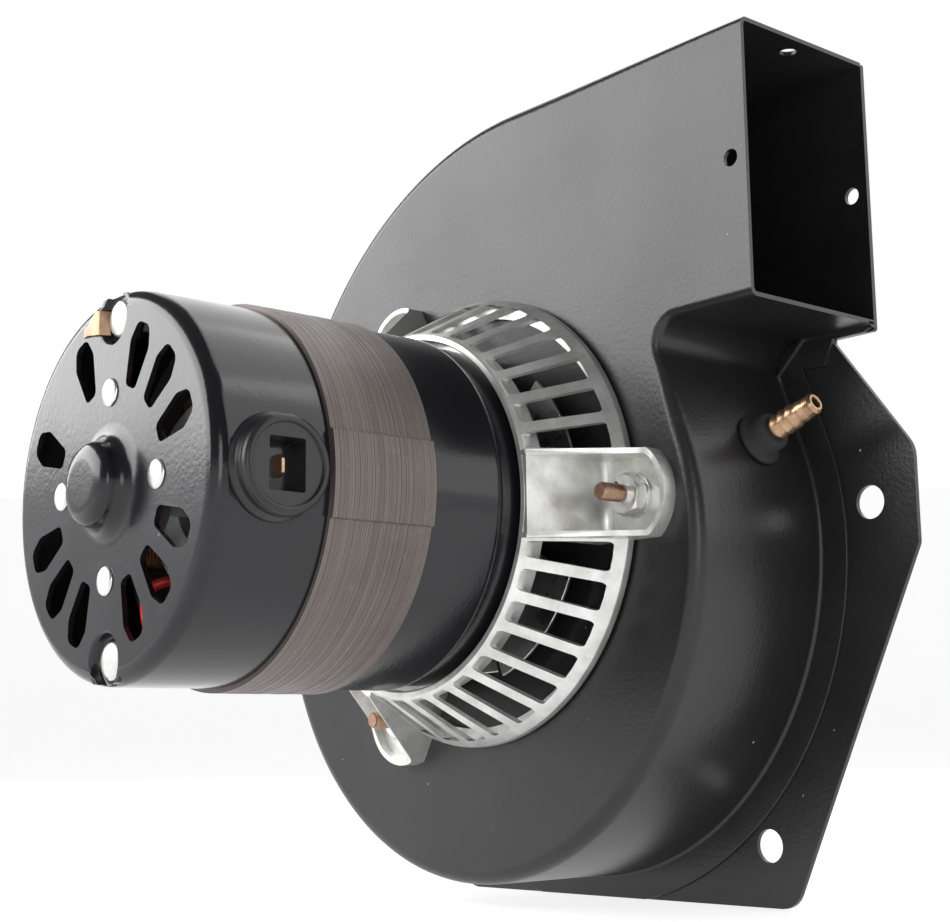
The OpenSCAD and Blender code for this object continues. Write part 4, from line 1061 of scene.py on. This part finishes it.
def makeFan():
    r, z, t, count, hole, wide = pick(fanSize, "r z sheet blades hole across")
    flat = slab("fanFlat", [arcOf(0, 0, fanSize["armR"], -2, 52, 8) + arcOf(0, 0, r, 49, 1, 18)], z, z + t)
    lift = radians(fanSize["lift"])
    verts = []
    for i in range(7):
        across = -wide * i / 6
        rise = sin(lift) * -across * min(1, i / 3 + 0.34)
        verts += [(x, across * cos(lift) - 0.4, z + t / 2 + rise) for x in (*fanSize["stations"], 39.5 - 0.25 * i)]
    faces = [(5 * i + k, 5 * i + k + 1, 5 * i + 6 + k, 5 * i + 5 + k) for i in range(6) for k in range(4)]
    vane = outward(sheet(draft("vane", verts, faces), t, 0))
    parts = copies(joined("fanPart", [flat, vane]), "fan_sheet", count, 72)
    disc = slab("fanDisc", [circleOf(0, 0, fanSize["discR"], 60), circleOf(0, 0, hole, 40)], z, z + t)
    fan = joined("coolingFan", [parts, disc])
    place(shade(soften(fan, 0.12, 1, 50), 35), "rotor", "fan_sheet", "cooling_fan")


makeWheel()
makeFan()
print("wheel and cooling fan made")


# ---------- studio

floorSize = {"z": -0.0936, "start": 0.6, "flat": 2.5, "rise": 1.2, "glow": 0.84}
lightSize = {"keyLight": ((-1.0, -1.07, 0.66), (0, -0.05, 0), (2.0, 0.85), 29),
             "topLight": ((0.2, 0.7, 1.4), (0, -0.05, 0), (1.3, 1.0), 7),
             "backRightLight": ((0.95, 0.95, 0.75), (0.05, 0, 0), (1.7, 1.3), 11),
             "backLeftLight": ((-0.72, 1.0, 1.0), (0, 0, 0), (1.7, 1.3), 10),
             "sideFill": ((1.2, -0.9, 0.25), (0, -0.06, 0), (0.5, 0.5), 2.2)}


def makeFloor():
    z, start, flat, rise, glow = pick(floorSize, "z start flat rise glow")
    line = [(0, z), (start, z), (flat, z)]
    line += [(flat + rise * sin(radians(a)), z + rise * (1 - cos(radians(a)))) for a in range(6, 61, 6)]
    floor = lathe("studioFloor", line, 96, closed=False)
    floor.data.shade_smooth()
    finish, tree, shader, spot = startFinish("paleFloor")
    feed(tree, shader, {"Base Color": mixColour(tree, noise(tree, spot, 3, 2), (0.3, 0.3, 0.3), (0.33, 0.33, 0.33)),
                        "Roughness": 0.85, "Emission Color": (1, 1, 1, 1), "Emission Strength": glow})
    floor.data.materials.append(finish)


def makeLight(name, where, aim, size, power):
    data = bpy.data.lights.new(name, "AREA")
    data.shape, data.size, data.size_y = "RECTANGLE", *size
    data.energy = power
    lamp = stand(name, data)
    lamp.location = where
    lamp.rotation_euler = (Vector(aim) - Vector(where)).to_track_quat("-Z", "Y").to_euler()


def makeWorld():
    # white where the camera sees it, dim where it lights the pieces
    world = bpy.data.worlds.new("studioWorld")
    bpy.context.scene.world = world
    world.use_nodes = True
    tree = world.node_tree
    seen = feed(tree, tree.nodes["Background"], {"Color": (1, 1, 1, 1), "Strength": 1.0})
    dim = addNode(tree, "ShaderNodeBackground", {"Color": (0.93, 0.95, 1, 1), "Strength": 0.12})
    mix = addNode(tree, "ShaderNodeMixShader", {
        0: addNode(tree, "ShaderNodeLightPath").outputs["Is Camera Ray"], 1: dim.outputs[0], 2: seen.outputs[0]})
    feed(tree, tree.nodes["World Output"], {"Surface": mix.outputs[0]})
    bpy.context.scene.view_settings.view_transform = "Standard"


cameraSize = {"at": (0.325885, -0.323961, -0.055496), "turn": 48.05, "lookUp": 10.48, "roll": -0.92,
              "lens": 65.56, "shiftX": -0.045, "shiftY": -0.0356}


def makeCamera():
    size = cameraSize
    a, e, r = radians(size["turn"]), -radians(size["lookUp"]), radians(size["roll"])
    back = Vector((sin(a) * cos(e), -cos(a) * cos(e), sin(e)))
    right = (-back).cross(Vector((0, 0, 1))).normalized()
    up = right.cross(-back)
    side, top = right * cos(r) + up * sin(r), up * cos(r) - right * sin(r)
    data = bpy.data.cameras.new("camera")
    data.sensor_fit, data.sensor_width, data.lens = "HORIZONTAL", 36, size["lens"]
    data.shift_x, data.shift_y = size["shiftX"], size["shiftY"]
    data.clip_start, data.clip_end = 0.01, 50
    camera = stand("camera", data)
    camera.matrix_world = shift(*size["at"]) @ Matrix((side, top, back)).transposed().to_4x4()
    bpy.context.scene.camera = camera


makeFloor()
for name, settings in lightSize.items():
    makeLight(name, *settings)
makeWorld()
makeCamera()
print("studio ready")
